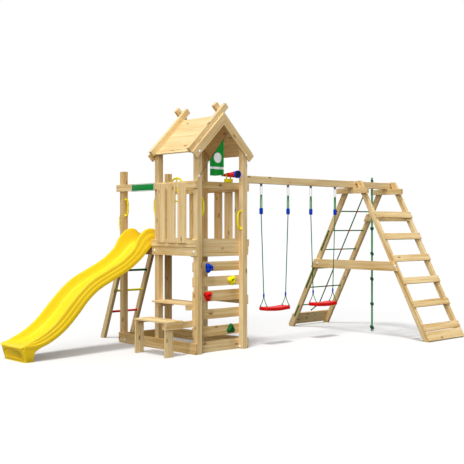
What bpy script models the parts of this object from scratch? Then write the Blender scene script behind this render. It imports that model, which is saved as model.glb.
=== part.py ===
"""Wooden play tower with a wave slide, a picnic table, two swings and a climbing frame.

Metres, +Z up. The pieces are drawn in the tower's own frame: x = 0 and y = 0 are the outer
faces of the front left post, x runs along the swing beam, y towards the rear ladder.
At the end the whole tower is moved so that the middle of its footprint is the origin.
"""

import math

import bmesh
import bpy
from mathutils import Vector

# Driving sizes of the timber
POST = 0.070
BAY_X = 0.700
BAY_Y = 0.705
WIDE = BAY_X + POST
DEEP = 2 * BAY_Y + POST
BOARD = 0.018
RAIL = 0.030
JOIST = 0.045
EASE = 0.003
GAP = 0.0003
SINK = 0.001

# Heights of the tower
DECK_Z = 1.200
DECK_BEAM_Z = 1.095
RAIL_LOW_Z = 1.8447
BEAM_Z = 1.945
BEAM_TALL = 0.100
REAR_POST_Z = 2.110
BASE_TALL = 0.125

# Roof, a 45 degree gable
ROOF_MID = WIDE / 2
ROOF_PEAK_Z = 2.715
ROOF_BOARD_PITCH = 0.1225
ROOF_SLOPE_LENGTH = 0.620
FASCIA_WIDE = 0.097
FASCIA_THICK = 0.022
FASCIA_PROUD = 0.020
BATTEN_TALL = 0.070
BATTEN_THICK = 0.045
ROOT_TWO = math.sqrt(2)

# Climbing frame
FRAME_LEFT_X = 2.745
FRAME_RIGHT_X = 3.550
LEG_THICK = 0.045
LEG_WIDE = 0.077
LEG_SLOPE = 0.527
LEG_TOP_Z = 2.040
BEAM_END_X = 3.600
BEAM_MID_Y = POST / 2

# Slide
SLIDE_MID_Y = 1.0375
SLIDE_HALF = 0.2175
SLIDE_SKIRT = 0.030
SLIDE_SHELL = 0.014

# Swings
SWING_AXIS_Z = 1.925
SEAT_TOP_Z = 0.448
SWING_1_X = (1.034, 1.500)
SWING_2_X = (1.918, 2.386)
SEAT_ROPE_INSET = 0.044
SEAT_LENGTH = 0.416
SEAT_WIDE = 0.150

# Stations down the slide: x, height of the bed, height of the walls above it, half width
SLIDE_STATIONS = (
    (0.170, 1.245, 0.070, SLIDE_HALF),
    (0.085, 1.245, 0.125, SLIDE_HALF),
    (0.010, 1.240, 0.168, SLIDE_HALF),
    (-0.070, 1.196, 0.150, SLIDE_HALF),
    (-0.191, 1.085, 0.128, SLIDE_HALF),
    (-0.378, 0.957, 0.105, SLIDE_HALF),
    (-0.585, 0.857, 0.100, SLIDE_HALF),
    (-0.790, 0.757, 0.100, SLIDE_HALF),
    (-0.940, 0.643, 0.106, SLIDE_HALF),
    (-1.080, 0.489, 0.115, SLIDE_HALF),
    (-1.218, 0.355, 0.115, SLIDE_HALF),
    (-1.354, 0.255, 0.113, SLIDE_HALF),
    (-1.490, 0.187, 0.106, SLIDE_HALF),
    (-1.610, 0.162, 0.072, SLIDE_HALF),
    (-1.672, 0.161, 0.036, SLIDE_HALF),
    (-1.710, 0.162, 0.014, SLIDE_HALF),
    (-1.732, 0.153, 0.005, 0.212),
    (-1.742, 0.138, 0.002, 0.205),
)

# Climbing frame details: the two sides, the rope on the beam, and the net
LEG_SPANS = (
    ("left", FRAME_LEFT_X, FRAME_LEFT_X + LEG_THICK),
    ("right", FRAME_RIGHT_X - LEG_THICK, FRAME_RIGHT_X),
)
ROPE_X = 3.160
NET_ROPE = 0.0055
NET_LEVELS = (1.637, 1.373, 1.109, 0.851, 0.588, 0.312)
NET_MIDDLE_X = 3.190
NET_TIES = ((2.930, 0.105), (3.150, 0.105))
STEP_MIDS = (1.580, 1.304, 1.028, 0.751, 0.475, 0.200)

# Boards across the front posts, top and bottom of each
CLIMBING_BOARDS = ((1.032, 0.923), (0.862, 0.750), (0.702, 0.579), (0.4896, 0.378), (0.294, 0.182))
CLIMBING_BOARD_THICK = 0.020

COLOURS = {
    "wood": ((0.78, 0.60, 0.36), 0.62, 0.0),
    "yellow_plastic": ((0.95, 0.76, 0.03), 0.35, 0.0),
    "red_plastic": ((0.78, 0.03, 0.03), 0.35, 0.0),
    "blue_plastic": ((0.02, 0.10, 0.62), 0.35, 0.0),
    "green_plastic": ((0.01, 0.28, 0.10), 0.40, 0.0),
    "green_rope": ((0.02, 0.30, 0.13), 0.80, 0.0),
    "green_cloth": ((0.01, 0.38, 0.11), 0.85, 0.0),
}


def clear_scene():
    for obj in list(bpy.data.objects):
        bpy.data.objects.remove(obj, do_unlink=True)


def material(name):
    colour, roughness, metallic = COLOURS[name]
    made = bpy.data.materials.get(name) or bpy.data.materials.new(name)
    made.use_nodes = True
    shader = made.node_tree.nodes["Principled BSDF"]
    shader.inputs["Base Color"].default_value = (*colour, 1.0)
    shader.inputs["Roughness"].default_value = roughness
    shader.inputs["Metallic"].default_value = metallic
    return made


def empty_at(name, place, parent=None):
    empty = bpy.data.objects.new(name, None)
    empty.location = place
    empty.parent = parent
    bpy.context.scene.collection.objects.link(empty)
    return empty


def finish(name, bm, finish_name, smooth=False):
    """Turn a bmesh into a named object of one material, standing in the tower's frame."""
    bmesh.ops.recalc_face_normals(bm, faces=bm.faces[:])
    mesh = bpy.data.meshes.new(name)
    bm.to_mesh(mesh)
    bm.free()
    mesh.materials.append(material(finish_name))
    if smooth:
        mesh.shade_smooth()
        mesh.set_sharp_from_angle(angle=math.radians(40))
    obj = bpy.data.objects.new(name, mesh)
    obj.parent = bpy.data.objects["tower_origin"]
    bpy.context.scene.collection.objects.link(obj)
    return obj


def carry(obj, pivot):
    """Let a moving piece ride on the empty that stands on its joint's axis."""
    obj.parent = pivot
    obj.location = -pivot.location


def place_on_axis(axis, along, across, up):
    """A point from its place along an axis and its two places across it."""
    if axis == "X":
        return Vector((along, across, up))
    if axis == "Y":
        return Vector((across, along, up))
    return Vector((across, up, along))


def prism(name, outline, low, high, axis, finish_name="wood", ease=0.0):
    """A straight piece of a constant outline. Across X it is (y, z), across Y it is (x, z)."""
    bm = bmesh.new()
    ends = []
    for along in (low, high):
        ends.append([bm.verts.new(place_on_axis(axis, along, a, b)) for a, b in outline])
    bm.faces.new(ends[0])
    bm.faces.new(ends[1][::-1])
    count = len(outline)
    for i in range(count):
        j = (i + 1) % count
        bm.faces.new((ends[0][j], ends[0][i], ends[1][i], ends[1][j]))
    if ease:
        bmesh.ops.recalc_face_normals(bm, faces=bm.faces[:])
        sharp = [e for e in bm.edges if e.calc_face_angle(0) > math.radians(20)]
        bmesh.ops.bevel(bm, geom=sharp, offset=ease, segments=1, affect="EDGES")
    return finish(name, bm, finish_name)


def timber(name, low, high, ease=EASE, finish_name="wood"):
    """A squared timber between two corners, with eased edges."""
    outline = [(low[1], low[2]), (high[1], low[2]), (high[1], high[2]), (low[1], high[2])]
    return prism(name, outline, low[0], high[0], "X", finish_name, ease)


def smooth_route(points, steps):
    """Points on a Catmull-Rom curve through the given points."""
    padded = [2 * points[0] - points[1]] + list(points) + [2 * points[-1] - points[-2]]
    route = []
    for a, b, c, d in zip(padded, padded[1:], padded[2:], padded[3:]):
        for step in range(steps):
            t = step / steps
            route.append(
                0.5 * (2 * b + (c - a) * t + (2 * a - 5 * b + 4 * c - d) * t * t
                       + (3 * b - a - 3 * c + d) * t ** 3)
            )
    return route + [points[-1]]


def swept(name, route, radius, sides=8, closed=False, flat=1.0, finish_name="green_rope"):
    """A round or flattened bar along a route, with the frame turned as little as possible."""
    bm = bmesh.new()
    count = len(route)
    rings = []
    side = None
    for i, point in enumerate(route):
        before = route[i - 1] if (i > 0 or closed) else route[0]
        after = route[(i + 1) % count] if (i < count - 1 or closed) else route[-1]
        along = (after - before).normalized()
        if side is None:
            side = along.orthogonal().normalized()
            if abs(along.y) < 0.9:
                side = (Vector((0, 1, 0)) - along * along.y).normalized()
        side = (side - along * side.dot(along)).normalized()
        up = along.cross(side)
        ring = []
        for k in range(sides):
            angle = 2 * math.pi * (k + 0.5) / sides
            offset = side * math.cos(angle) * flat + up * math.sin(angle)
            ring.append(bm.verts.new(point + offset * radius))
        rings.append(ring)
    spans = count if closed else count - 1
    for i in range(spans):
        first, second = rings[i], rings[(i + 1) % count]
        for k in range(sides):
            n = (k + 1) % sides
            bm.faces.new((first[k], first[n], second[n], second[k]))
    if not closed:
        bm.faces.new(rings[0][::-1])
        bm.faces.new(rings[-1])
    return finish(name, bm, finish_name, smooth=True)


def turned(name, profile, centre, axis, sides=20, finish_name="yellow_plastic"):
    """A turned piece from (radius, along) points. A profile that ends on the axis is capped."""
    bm = bmesh.new()
    rings = []
    for radius, along in profile:
        if radius < 1e-6:
            rings.append([bm.verts.new(place_on_axis(axis, along, 0, 0) + Vector(centre))])
            continue
        ring = []
        for k in range(sides):
            angle = 2 * math.pi * k / sides
            across = radius * math.cos(angle)
            up = radius * math.sin(angle)
            ring.append(bm.verts.new(place_on_axis(axis, along, across, up) + Vector(centre)))
        rings.append(ring)
    for first, second in zip(rings, rings[1:]):
        for k in range(sides):
            n = (k + 1) % sides
            corners = [first[k % len(first)], first[n % len(first)]]
            corners += [second[n % len(second)], second[k % len(second)]]
            bm.faces.new(list(dict.fromkeys(corners)))
    if len(rings[0]) > 1 and len(rings[-1]) > 1:
        bm.faces.new(rings[0][::-1])
        bm.faces.new(rings[-1])
    return finish(name, bm, finish_name, smooth=True)


def combine(body, others, operation="UNION"):
    """Join pieces to a body, or cut them from it, with one exact Boolean."""
    group = bpy.data.collections.new(f"{body.name}_{operation.lower()}")
    bpy.context.scene.collection.children.link(group)
    for other in others:
        bpy.context.scene.collection.objects.unlink(other)
        group.objects.link(other)
        other.hide_render = True
        other.display_type = "WIRE"
    step = body.modifiers.new(operation.lower(), "BOOLEAN")
    step.operation = operation
    step.operand_type = "COLLECTION"
    step.collection = group
    step.solver = "EXACT"
    return body


def circle(centre, radius, normal_axis, count):
    """Points of a circle round one axis."""
    points = []
    for k in range(count):
        angle = 2 * math.pi * k / count
        offset = place_on_axis(normal_axis, 0, radius * math.cos(angle), radius * math.sin(angle))
        points.append(Vector(centre) + offset)
    return points


def corner_arc(centre_a, centre_b, radius, start):
    """A quarter circle in steps of 30 degrees, for a rounded corner of an outline."""
    points = []
    for step in range(4):
        angle = math.radians(start + 30 * step)
        points.append((centre_a + radius * math.cos(angle), centre_b + radius * math.sin(angle)))
    return points


def roof_top(x):
    return ROOF_PEAK_Z - abs(x - ROOF_MID)


def roof_under(x):
    return roof_top(x) - BOARD * ROOT_TWO


def make_posts():
    """Four tall posts cut to the roof slope, and two shorter ones at the rear."""
    rows = (("front", 0.0), ("middle", BAY_Y))
    for row, y in rows:
        for side, x in (("left", 0.0), ("right", BAY_X)):
            lift = GAP * ROOT_TWO
            outline = [
                (x, 0.0),
                (x + POST, 0.0),
                (x + POST, roof_under(x + POST) - lift),
                (x, roof_under(x) - lift),
            ]
            prism(f"post_{row}_{side}", outline, y, y + POST, "Y", ease=EASE)
    for side, x in (("left", 0.0), ("right", BAY_X)):
        low = (x, 2 * BAY_Y, 0.0)
        timber(f"post_rear_{side}", low, (x + POST, DEEP, REAR_POST_Z))


def make_sandbox():
    """The base frame: two long side boards with rounded lower corners, a front and a back board."""
    thick = 0.020
    corner = 0.030
    side_outline = corner_arc(corner, corner, corner, 180)
    side_outline += corner_arc(DEEP - corner, corner, corner, 270)
    side_outline += [(DEEP, BASE_TALL), (0.0, BASE_TALL)]
    frame = prism("sandbox_frame", side_outline, -GAP - thick, -GAP, "X")
    cross_boards = [prism("sandbox_right", side_outline, WIDE + GAP, WIDE + GAP + thick, "X")]
    for end, low_y in (("front", POST + GAP), ("back", 2 * BAY_Y - GAP - thick)):
        low = (-thick / 2, low_y, 0.0)
        high = (WIDE + thick / 2, low_y + thick, BASE_TALL - SINK)
        cross_boards.append(timber(f"sandbox_{end}", low, high, 0))
    combine(frame, cross_boards)


def make_deck():
    """Deck boards on two joists that run inside the posts."""
    pitch = 0.0985
    wide = 0.094
    board_low = DECK_Z - BOARD
    left = POST + GAP
    right = BAY_X - GAP
    start = POST + GAP + JOIST + GAP
    stop = DEEP
    joist_top = board_low + SINK
    joist_left = timber("deck", (left, start, DECK_BEAM_Z), (left + JOIST, stop, joist_top), 0)
    low = (right - JOIST, start, DECK_BEAM_Z)
    pieces = [timber("deck_joist_right", low, (right, stop, joist_top), 0)]
    post_rows = ((BAY_Y, BAY_Y + POST), (2 * BAY_Y, DEEP))
    y = start
    number = 0
    while y + wide < stop + pitch / 2:
        number += 1
        high = (WIDE - GAP, min(y + wide, stop), DECK_Z)
        pieces.append(timber(f"deck_board_{number}", (GAP, y, board_low), high, 0))
        y += pitch
    combine(joist_left, pieces)
    notches = []
    for row, (low_y, high_y) in enumerate(post_rows):
        for side, x in (("left", 0.0), ("right", BAY_X)):
            low = (x - POST, low_y - GAP, DECK_BEAM_Z - POST)
            high = (x + POST + GAP, high_y + POST, DECK_Z + POST)
            if side == "right":
                low = (x - GAP, low[1], low[2])
                high = (x + 2 * POST, high[1], high[2])
            if row == 0:
                high = (high[0], high_y + GAP, high[2])
            notches.append(timber(f"deck_notch_{row}_{side}", low, high, 0))
    combine(joist_left, notches, "DIFFERENCE")


def make_front_beam():
    """The front beam under the deck edge, with the kick board that stands on it."""
    inner = POST + GAP
    beam = timber("front_deck_beam", (GAP, inner, 1.090), (WIDE - GAP, inner + JOIST, DECK_Z), 0)
    kick = timber("front_kick_board", (GAP, inner, DECK_Z - SINK), (WIDE - GAP, inner + RAIL, 1.293), 0)
    combine(beam, [kick])
    timber("front_handrail", (GAP, inner, 1.870), (WIDE - GAP, inner + JOIST, BEAM_Z))


def make_side_railing(side, baluster_spans, deck_end):
    """Deck beam, kick board, handrail and upright boards of one long side."""
    sign = -1 if side == "left" else 1
    face = -GAP if side == "left" else WIDE + GAP
    outer = face + sign * RAIL
    beam_outer = face + sign * BOARD
    board_outer = outer + sign * BOARD

    def across(a, b):
        return min(a, b), max(a, b)

    x0, x1 = across(face, outer)
    b0, b1 = across(outer - sign * SINK, board_outer)
    d0, d1 = across(face, beam_outer)
    rail = timber(f"{side}_railing", (x0, 0.0, RAIL_LOW_Z), (x1, 1.530, BEAM_Z - GAP), 0)
    pieces = [
        timber(f"{side}_deck_beam", (d0, 0.0, 1.100), (d1, deck_end, DECK_Z + SINK), 0),
        timber(f"{side}_kick_board", (x0, 0.0, DECK_Z), (x1, deck_end, 1.282), 0),
    ]
    for number, (low_y, high_y) in enumerate(baluster_spans, 1):
        low = (b0, low_y, 1.245)
        pieces.append(timber(f"{side}_baluster_{number}", low, (b1, high_y, 1.930), 0))
    combine(rail, pieces)


def make_railings():
    make_side_railing("left", ((0.585, 0.730), (0.393, 0.534), (0.207, 0.344)), BAY_Y + POST)
    near = ((0.072, 0.167), (0.205, 0.315), (0.383, 0.498))
    far = ((0.860, 0.975), (1.035, 1.150), (1.210, 1.325))
    make_side_railing("right", near + far, DEEP)


def make_climbing_wall():
    """Five boards across the front posts with four moulded holds, and the middle side board."""
    front = POST + GAP
    back = front + CLIMBING_BOARD_THICK
    for number, (high_z, low_z) in enumerate(CLIMBING_BOARDS, 1):
        timber(f"climbing_board_{number}", (GAP, front, low_z), (WIDE - GAP, back, high_z))
    side_x = WIDE + GAP
    timber("right_side_board", (side_x, 0.0, 0.520), (side_x + BOARD, BAY_Y + POST, 0.630))
    holds = (
        ("blue", 0.208, 0.963, 0.10),
        ("yellow", 0.561, 0.808, 0.85),
        ("red", 0.190, 0.643, 1.55),
        ("green", 0.544, 0.244, 0.50),
    )
    for colour, x, z, turn in holds:
        make_hold(f"hold_{colour}", x, z, turn, f"{colour}_plastic")


def make_hold(name, x, z, turn, finish_name):
    """A three-lobed grip that swells from its base, hollowed round its bolt."""
    base_y = POST
    layers = (
        (0.0, 0.86),
        (0.010, 1.00),
        (0.026, 0.92),
        (0.040, 0.66),
        (0.045, 0.36),
        (0.036, 0.17),
    )
    sides = 18
    size = 0.045
    bm = bmesh.new()
    rings = []
    for depth, grow in layers:
        ring = []
        for k in range(sides):
            angle = 2 * math.pi * k / sides
            reach = size * grow * (1 + 0.17 * math.cos(3 * (angle - turn)))
            place = (x + reach * math.cos(angle), base_y - depth, z + reach * math.sin(angle))
            ring.append(bm.verts.new(place))
        rings.append(ring)
    bm.faces.new(rings[0])
    bm.faces.new(rings[-1])
    for first, second in zip(rings, rings[1:]):
        for k in range(sides):
            n = (k + 1) % sides
            bm.faces.new((first[k], first[n], second[n], second[k]))
    finish(name, bm, finish_name, smooth=True)


def make_roof():
    """Two slopes of grooved boards, and at each gable a mitred fascia with crossed battens."""
    peak = ROOF_PEAK_Z
    groove = 0.003
    for side, sign in (("left", -1), ("right", 1)):
        def on_slope(along, down, sign=sign):
            flat = along / ROOT_TWO
            drop = down / ROOT_TWO
            return ROOF_MID + sign * (flat - drop), peak - flat - drop

        ridge_gap = GAP
        upper = [on_slope(ridge_gap, 0.0)]
        joint = 0.0955
        while joint < ROOF_SLOPE_LENGTH - groove:
            upper.append(on_slope(joint - groove, 0.0))
            upper.append(on_slope(joint, groove))
            upper.append(on_slope(joint + groove, 0.0))
            joint += ROOF_BOARD_PITCH
        upper.append(on_slope(ROOF_SLOPE_LENGTH, 0.0))
        lower_eave = on_slope(ROOF_SLOPE_LENGTH, BOARD)
        lower_ridge = on_slope(BOARD + ridge_gap, BOARD)
        prism(f"roof_slope_{side}", upper + [lower_eave, lower_ridge], GAP, BAY_Y + POST - GAP, "Y")
    for end in ("front", "back"):
        make_gable(end)


def make_gable(end):
    top_z = ROOF_PEAK_Z + FASCIA_PROUD
    drop = FASCIA_WIDE * ROOT_TWO
    reach = 0.4735
    step = FASCIA_WIDE / ROOT_TWO
    right = [(reach, top_z - reach), (reach - step, top_z - reach - step)]
    outline = [(ROOF_MID, top_z)]
    outline += [(ROOF_MID + a, z) for a, z in right]
    outline.append((ROOF_MID, top_z - drop))
    outline += [(ROOF_MID - a, z) for a, z in right[::-1]]
    if end == "front":
        face_low = -GAP - FASCIA_THICK
        face_high = -GAP
        first_low = -GAP - SINK
        first_high = BATTEN_THICK + SINK
        second_low = BATTEN_THICK
        second_high = 2 * BATTEN_THICK
    else:
        face_low = BAY_Y + POST + GAP
        face_high = face_low + FASCIA_THICK
        first_low = BAY_Y + POST - 2 * BATTEN_THICK
        first_high = first_low + BATTEN_THICK + SINK
        second_low = first_low + BATTEN_THICK
        second_high = face_low + SINK
    gable = prism(f"gable_{end}", outline, face_low, face_high, "Y")
    rising_right = batten_outline(1, 0.475)
    rising_left = batten_outline(-1, 0.482)
    pieces = [
        prism(f"gable_{end}_batten_right", rising_right, first_low, first_high, "Y"),
        prism(f"gable_{end}_batten_left", rising_left, second_low, second_high, "Y"),
    ]
    combine(gable, pieces)


def batten_outline(sign, high_end):
    """A squared batten lying on one slope and running on past the ridge as a horn."""
    low_end = -0.0775
    lift = ROOF_PEAK_Z - ROOF_MID + GAP * ROOT_TWO
    step = BATTEN_TALL / ROOT_TWO
    outline = [
        (low_end, low_end + lift),
        (high_end, high_end + lift),
        (high_end - step, high_end + lift + step),
        (low_end - step, low_end + lift + step),
    ]
    if sign > 0:
        return outline
    return [(WIDE - x, z) for x, z in outline[::-1]]


def make_table():
    """Table top notched round the middle post, on two bearers fixed to the posts."""
    top_low = 0.550
    top_high = 0.570
    outer = timber("picnic_table", (-0.100, POST + 0.005, top_low), (-GAP, BAY_Y + POST, top_high), 0)
    inner_y = (POST + 0.005, BAY_Y - GAP)
    inner = timber("table_inner", (-SINK, inner_y[0], top_low), (0.200, inner_y[1], top_high), 0)
    bearer_z = (0.4906, top_low + SINK)
    front_y = POST + GAP
    rear_y = BAY_Y - GAP
    bearers = []
    for end, low_y in (("front", front_y), ("rear", rear_y - JOIST)):
        low = (-0.095, low_y, bearer_z[0])
        bearers.append(timber(f"table_bearer_{end}", low, (0.195, low_y + JOIST, bearer_z[1]), 0))
    combine(outer, [inner] + bearers)


def make_bench():
    """Bench seat on two board legs, tied to the front post by its long bearer."""
    seat_low = 0.375
    seat_high = 0.396
    left = -0.445
    right = -0.205
    seat = timber("bench", (left, 0.030, seat_low), (right, 0.612, seat_high), 0)
    top = seat_low + SINK
    leg_low_x = left + 0.004
    leg_high_x = -0.311
    bearer_y = POST + GAP
    apron = timber("bench_apron", (left + SINK, 0.031, 0.302), (right - SINK, 0.048, top), 0)
    leg_front = timber("bench_leg_front", (leg_low_x, 0.047, 0.0), (leg_high_x, bearer_y + SINK, top), 0)
    leg_rear = timber("bench_leg_rear", (leg_low_x, 0.589, 0.0), (leg_high_x, 0.611, top), 0)
    bearer = timber("bench_bearer", (-0.430, bearer_y, 0.304), (0.140, bearer_y + JOIST, top), 0)
    cleat = timber("bench_cleat", (-0.430, 0.565, 0.345), (-0.220, 0.590, top), 0)
    combine(seat, [apron, leg_front, leg_rear, bearer, cleat])


def make_ladder():
    """Leaning rails cut plumb against the rear of the tower, with three round rungs."""
    slope = 0.39
    foot_y = 1.970
    half = 0.0376
    rear_face = DEEP + 2 * GAP
    top_z = 1.280
    plumb_z = (foot_y - half - rear_face) / slope
    outline = [
        (foot_y - half, 0.0),
        (foot_y + half, 0.0),
        (foot_y + half - slope * top_z, top_z),
        (rear_face, top_z),
        (rear_face, plumb_z),
    ]
    spans = {"left": (0.065, 0.110), "right": (0.520, 0.565)}
    rungs = (("red", 0.340), ("yellow", 0.615), ("green", 0.875))
    rung_radius = 0.011
    bite = 0.012
    for side, (low_x, high_x) in spans.items():
        rail = prism(f"ladder_rail_{side}", outline, low_x, high_x, "X", ease=EASE)
        inner = high_x if side == "left" else low_x
        sockets = []
        for colour, z in rungs:
            centre = (inner, foot_y - slope * z, z)
            profile = [(rung_radius + GAP, -bite - GAP), (rung_radius + GAP, bite + GAP)]
            sockets.append(turned(f"socket_{side}_{colour}", profile, centre, "X", 12, "wood"))
        combine(rail, sockets, "DIFFERENCE")
    for colour, z in rungs:
        centre = (0.0, foot_y - slope * z, z)
        profile = [(rung_radius, spans["left"][1] - bite), (rung_radius, spans["right"][0] + bite)]
        turned(f"rung_{colour}", profile, centre, "X", 12, f"{colour}_plastic")


def slide_half_section(wall, half):
    """Half of the moulded section: bed, hollowed side, rolled rim, ribbed outer wall, skirt."""
    w = SLIDE_HALF
    section = [
        (0.112, 0.0),
        (0.138, 0.05 * wall),
        (0.154, 0.22 * wall),
        (0.165, 0.60 * wall),
        (0.171, 0.92 * wall),
        (0.179, 1.00 * wall),
        (0.195, 1.00 * wall),
        (0.203, 0.90 * wall),
        (0.205, 0.58 * wall),
        (0.2115, 0.50 * wall),
        (0.2120, 0.16 * wall),
        (w, 0.07 * wall),
        (w, -SLIDE_SKIRT),
        (0.199, -SLIDE_SKIRT),
        (0.192, -SLIDE_SHELL),
        (0.100, -SLIDE_SHELL),
    ]
    return [(across * half / SLIDE_HALF, up) for across, up in section]


def make_slide():
    """The moulded wave slide: one lofted shell, its foot block, and the seat on the deck edge."""
    stations = smooth_route([Vector(row) for row in SLIDE_STATIONS], 3)
    bm = bmesh.new()
    rings = []
    for i, station in enumerate(stations):
        before = stations[max(i - 1, 0)]
        after = stations[min(i + 1, len(stations) - 1)]
        along = Vector((after.x - before.x, 0, after.y - before.y)).normalized()
        normal = Vector((along.z, 0, -along.x))
        base = Vector((station.x, SLIDE_MID_Y, station.y))
        half = slide_half_section(station.z, station.w)
        section = half + [(-across, up) for across, up in half[::-1]]
        rings.append([bm.verts.new(base + Vector((0, a, 0)) + normal * up) for a, up in section])
    for first, second in zip(rings, rings[1:]):
        count = len(first)
        for k in range(count):
            n = (k + 1) % count
            bm.faces.new((first[k], second[k], second[n], first[n]))
    bm.faces.new(rings[0])
    bm.faces.new(rings[-1][::-1])
    slide = finish("slide", bm, "yellow_plastic", smooth=True)
    combine(slide, [slide_foot()])
    low = (0.0, SLIDE_MID_Y - 2 * SLIDE_HALF, DECK_Z - 2 * SLIDE_HALF)
    high = (POST + BAY_X / 2, SLIDE_MID_Y + 2 * SLIDE_HALF, DECK_Z + GAP)
    seat = timber("slide_deck_seat", low, high, 0)
    combine(slide, [seat, foot_recess()], "DIFFERENCE")


def slide_foot():
    """The block under the lip, narrower at the ground, with rounded upright corners."""
    levels = (
        (0.000, -1.696, 0.207),
        (0.060, -1.714, 0.213),
        (0.120, -1.732, 0.2165),
        (0.142, -1.732, 0.2150),
    )
    back_x = -1.590
    corner = 0.035
    bm = bmesh.new()
    rings = []
    for z, front_x, half in levels:
        ring = [(back_x, -half), (back_x, half)]
        ring += corner_arc(front_x + corner, half - corner, corner, 90)
        ring += corner_arc(front_x + corner, corner - half, corner, 180)
        rings.append([bm.verts.new((x, SLIDE_MID_Y + y, z)) for x, y in ring])
    for first, second in zip(rings, rings[1:]):
        for k in range(len(first)):
            n = (k + 1) % len(first)
            bm.faces.new((first[k], first[n], second[n], second[k]))
    bm.faces.new(rings[0])
    bm.faces.new(rings[-1])
    return finish("slide_foot_block", bm, "yellow_plastic")


def foot_recess():
    """The shallow bare recess in the front of the foot, arched at its top."""
    outline = [(-0.160, 0.030), (0.160, 0.030), (0.166, 0.088), (0.120, 0.116), (0.0, 0.124)]
    outline += [(-0.120, 0.116), (-0.166, 0.088)]
    depth = 0.012
    front_x = -1.800
    foot_x = -1.696
    lean = 0.300
    bm = bmesh.new()
    front = [bm.verts.new((front_x, SLIDE_MID_Y + y, z)) for y, z in outline]
    back = [bm.verts.new((foot_x + depth - lean * z, SLIDE_MID_Y + y, z)) for y, z in outline]
    bm.faces.new(front)
    bm.faces.new(back[::-1])
    for k in range(len(outline)):
        n = (k + 1) % len(outline)
        bm.faces.new((front[n], front[k], back[k], back[n]))
    return finish("slide_foot_recess", bm, "yellow_plastic")


def make_handles():
    """Five bowed grab handles with round feet, one bolted beside each way in."""
    half = POST / 2
    rear = 2 * BAY_Y
    places = (
        ("handle_slide_rear", (half, rear - GAP, 1.666), (0, -1, 0)),
        ("handle_ladder", (half, DEEP + GAP, 1.480), (0, 1, 0)),
        ("handle_slide_front", (half, BAY_Y + POST + GAP, 1.670), (0, 1, 0)),
        ("handle_wall_left", (POST + GAP, half, 1.660), (1, 0, 0)),
        ("handle_wall_right", (BAY_X - GAP, half, 1.508), (-1, 0, 0)),
    )
    bow = ((-0.102, 0.004), (-0.098, 0.024), (-0.078, 0.040), (-0.040, 0.049), (0.0, 0.051))
    profile = list(bow) + [(-along, out) for along, out in bow[-2::-1]]
    for name, place, normal in places:
        out = Vector(normal)
        route = [Vector(place) + Vector((0, 0, along)) + out * stand for along, stand in profile]
        grip = swept(name, route, 0.0115, 8, finish_name="yellow_plastic")
        axis = "X" if out.x else "Y"
        feet = []
        for number, along in enumerate((-0.102, 0.102)):
            sign = out.x + out.y
            centre = Vector(place) + Vector((0, 0, along))
            disc = [(0.0185, 0.0), (0.0185, 0.006 * sign), (0.014, 0.011 * sign)]
            feet.append(turned(f"{name}_foot_{number}", disc, centre, axis, 12))
        combine(grip, feet)


def make_steering_wheel(root):
    """A three-spoked wheel on a hub against the inside of the right handrail."""
    centre = Vector((0.690, 1.217, 1.900))
    pivot = empty_at("steering_pivot", centre, root)
    rim_radius = 0.1315
    rim_route = circle(centre, rim_radius, "X", 28)
    rim = swept("steering_wheel", rim_route, 0.011, 8, True, finish_name="yellow_plastic")
    hub = turned(
        "steering_hub",
        [(0.012, -0.026), (0.030, -0.020), (0.034, 0.006), (0.020, 0.020), (0.020, WIDE - centre.x)],
        centre,
        "X",
        16,
    )
    spokes = []
    for number in range(3):
        angle = math.radians(90 + 120 * number)
        reach = Vector((0, math.cos(angle), math.sin(angle)))
        dish = Vector((-0.006, 0, 0))
        route = [centre + reach * 0.015, centre + reach * 0.06 + dish, centre + reach * rim_radius]
        spokes.append(swept(f"steering_spoke_{number}", route, 0.010, finish_name="yellow_plastic"))
    combine(rim, [hub] + spokes)
    carry(rim, pivot)
    for piece in [hub] + spokes:
        carry(piece, pivot)


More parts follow.
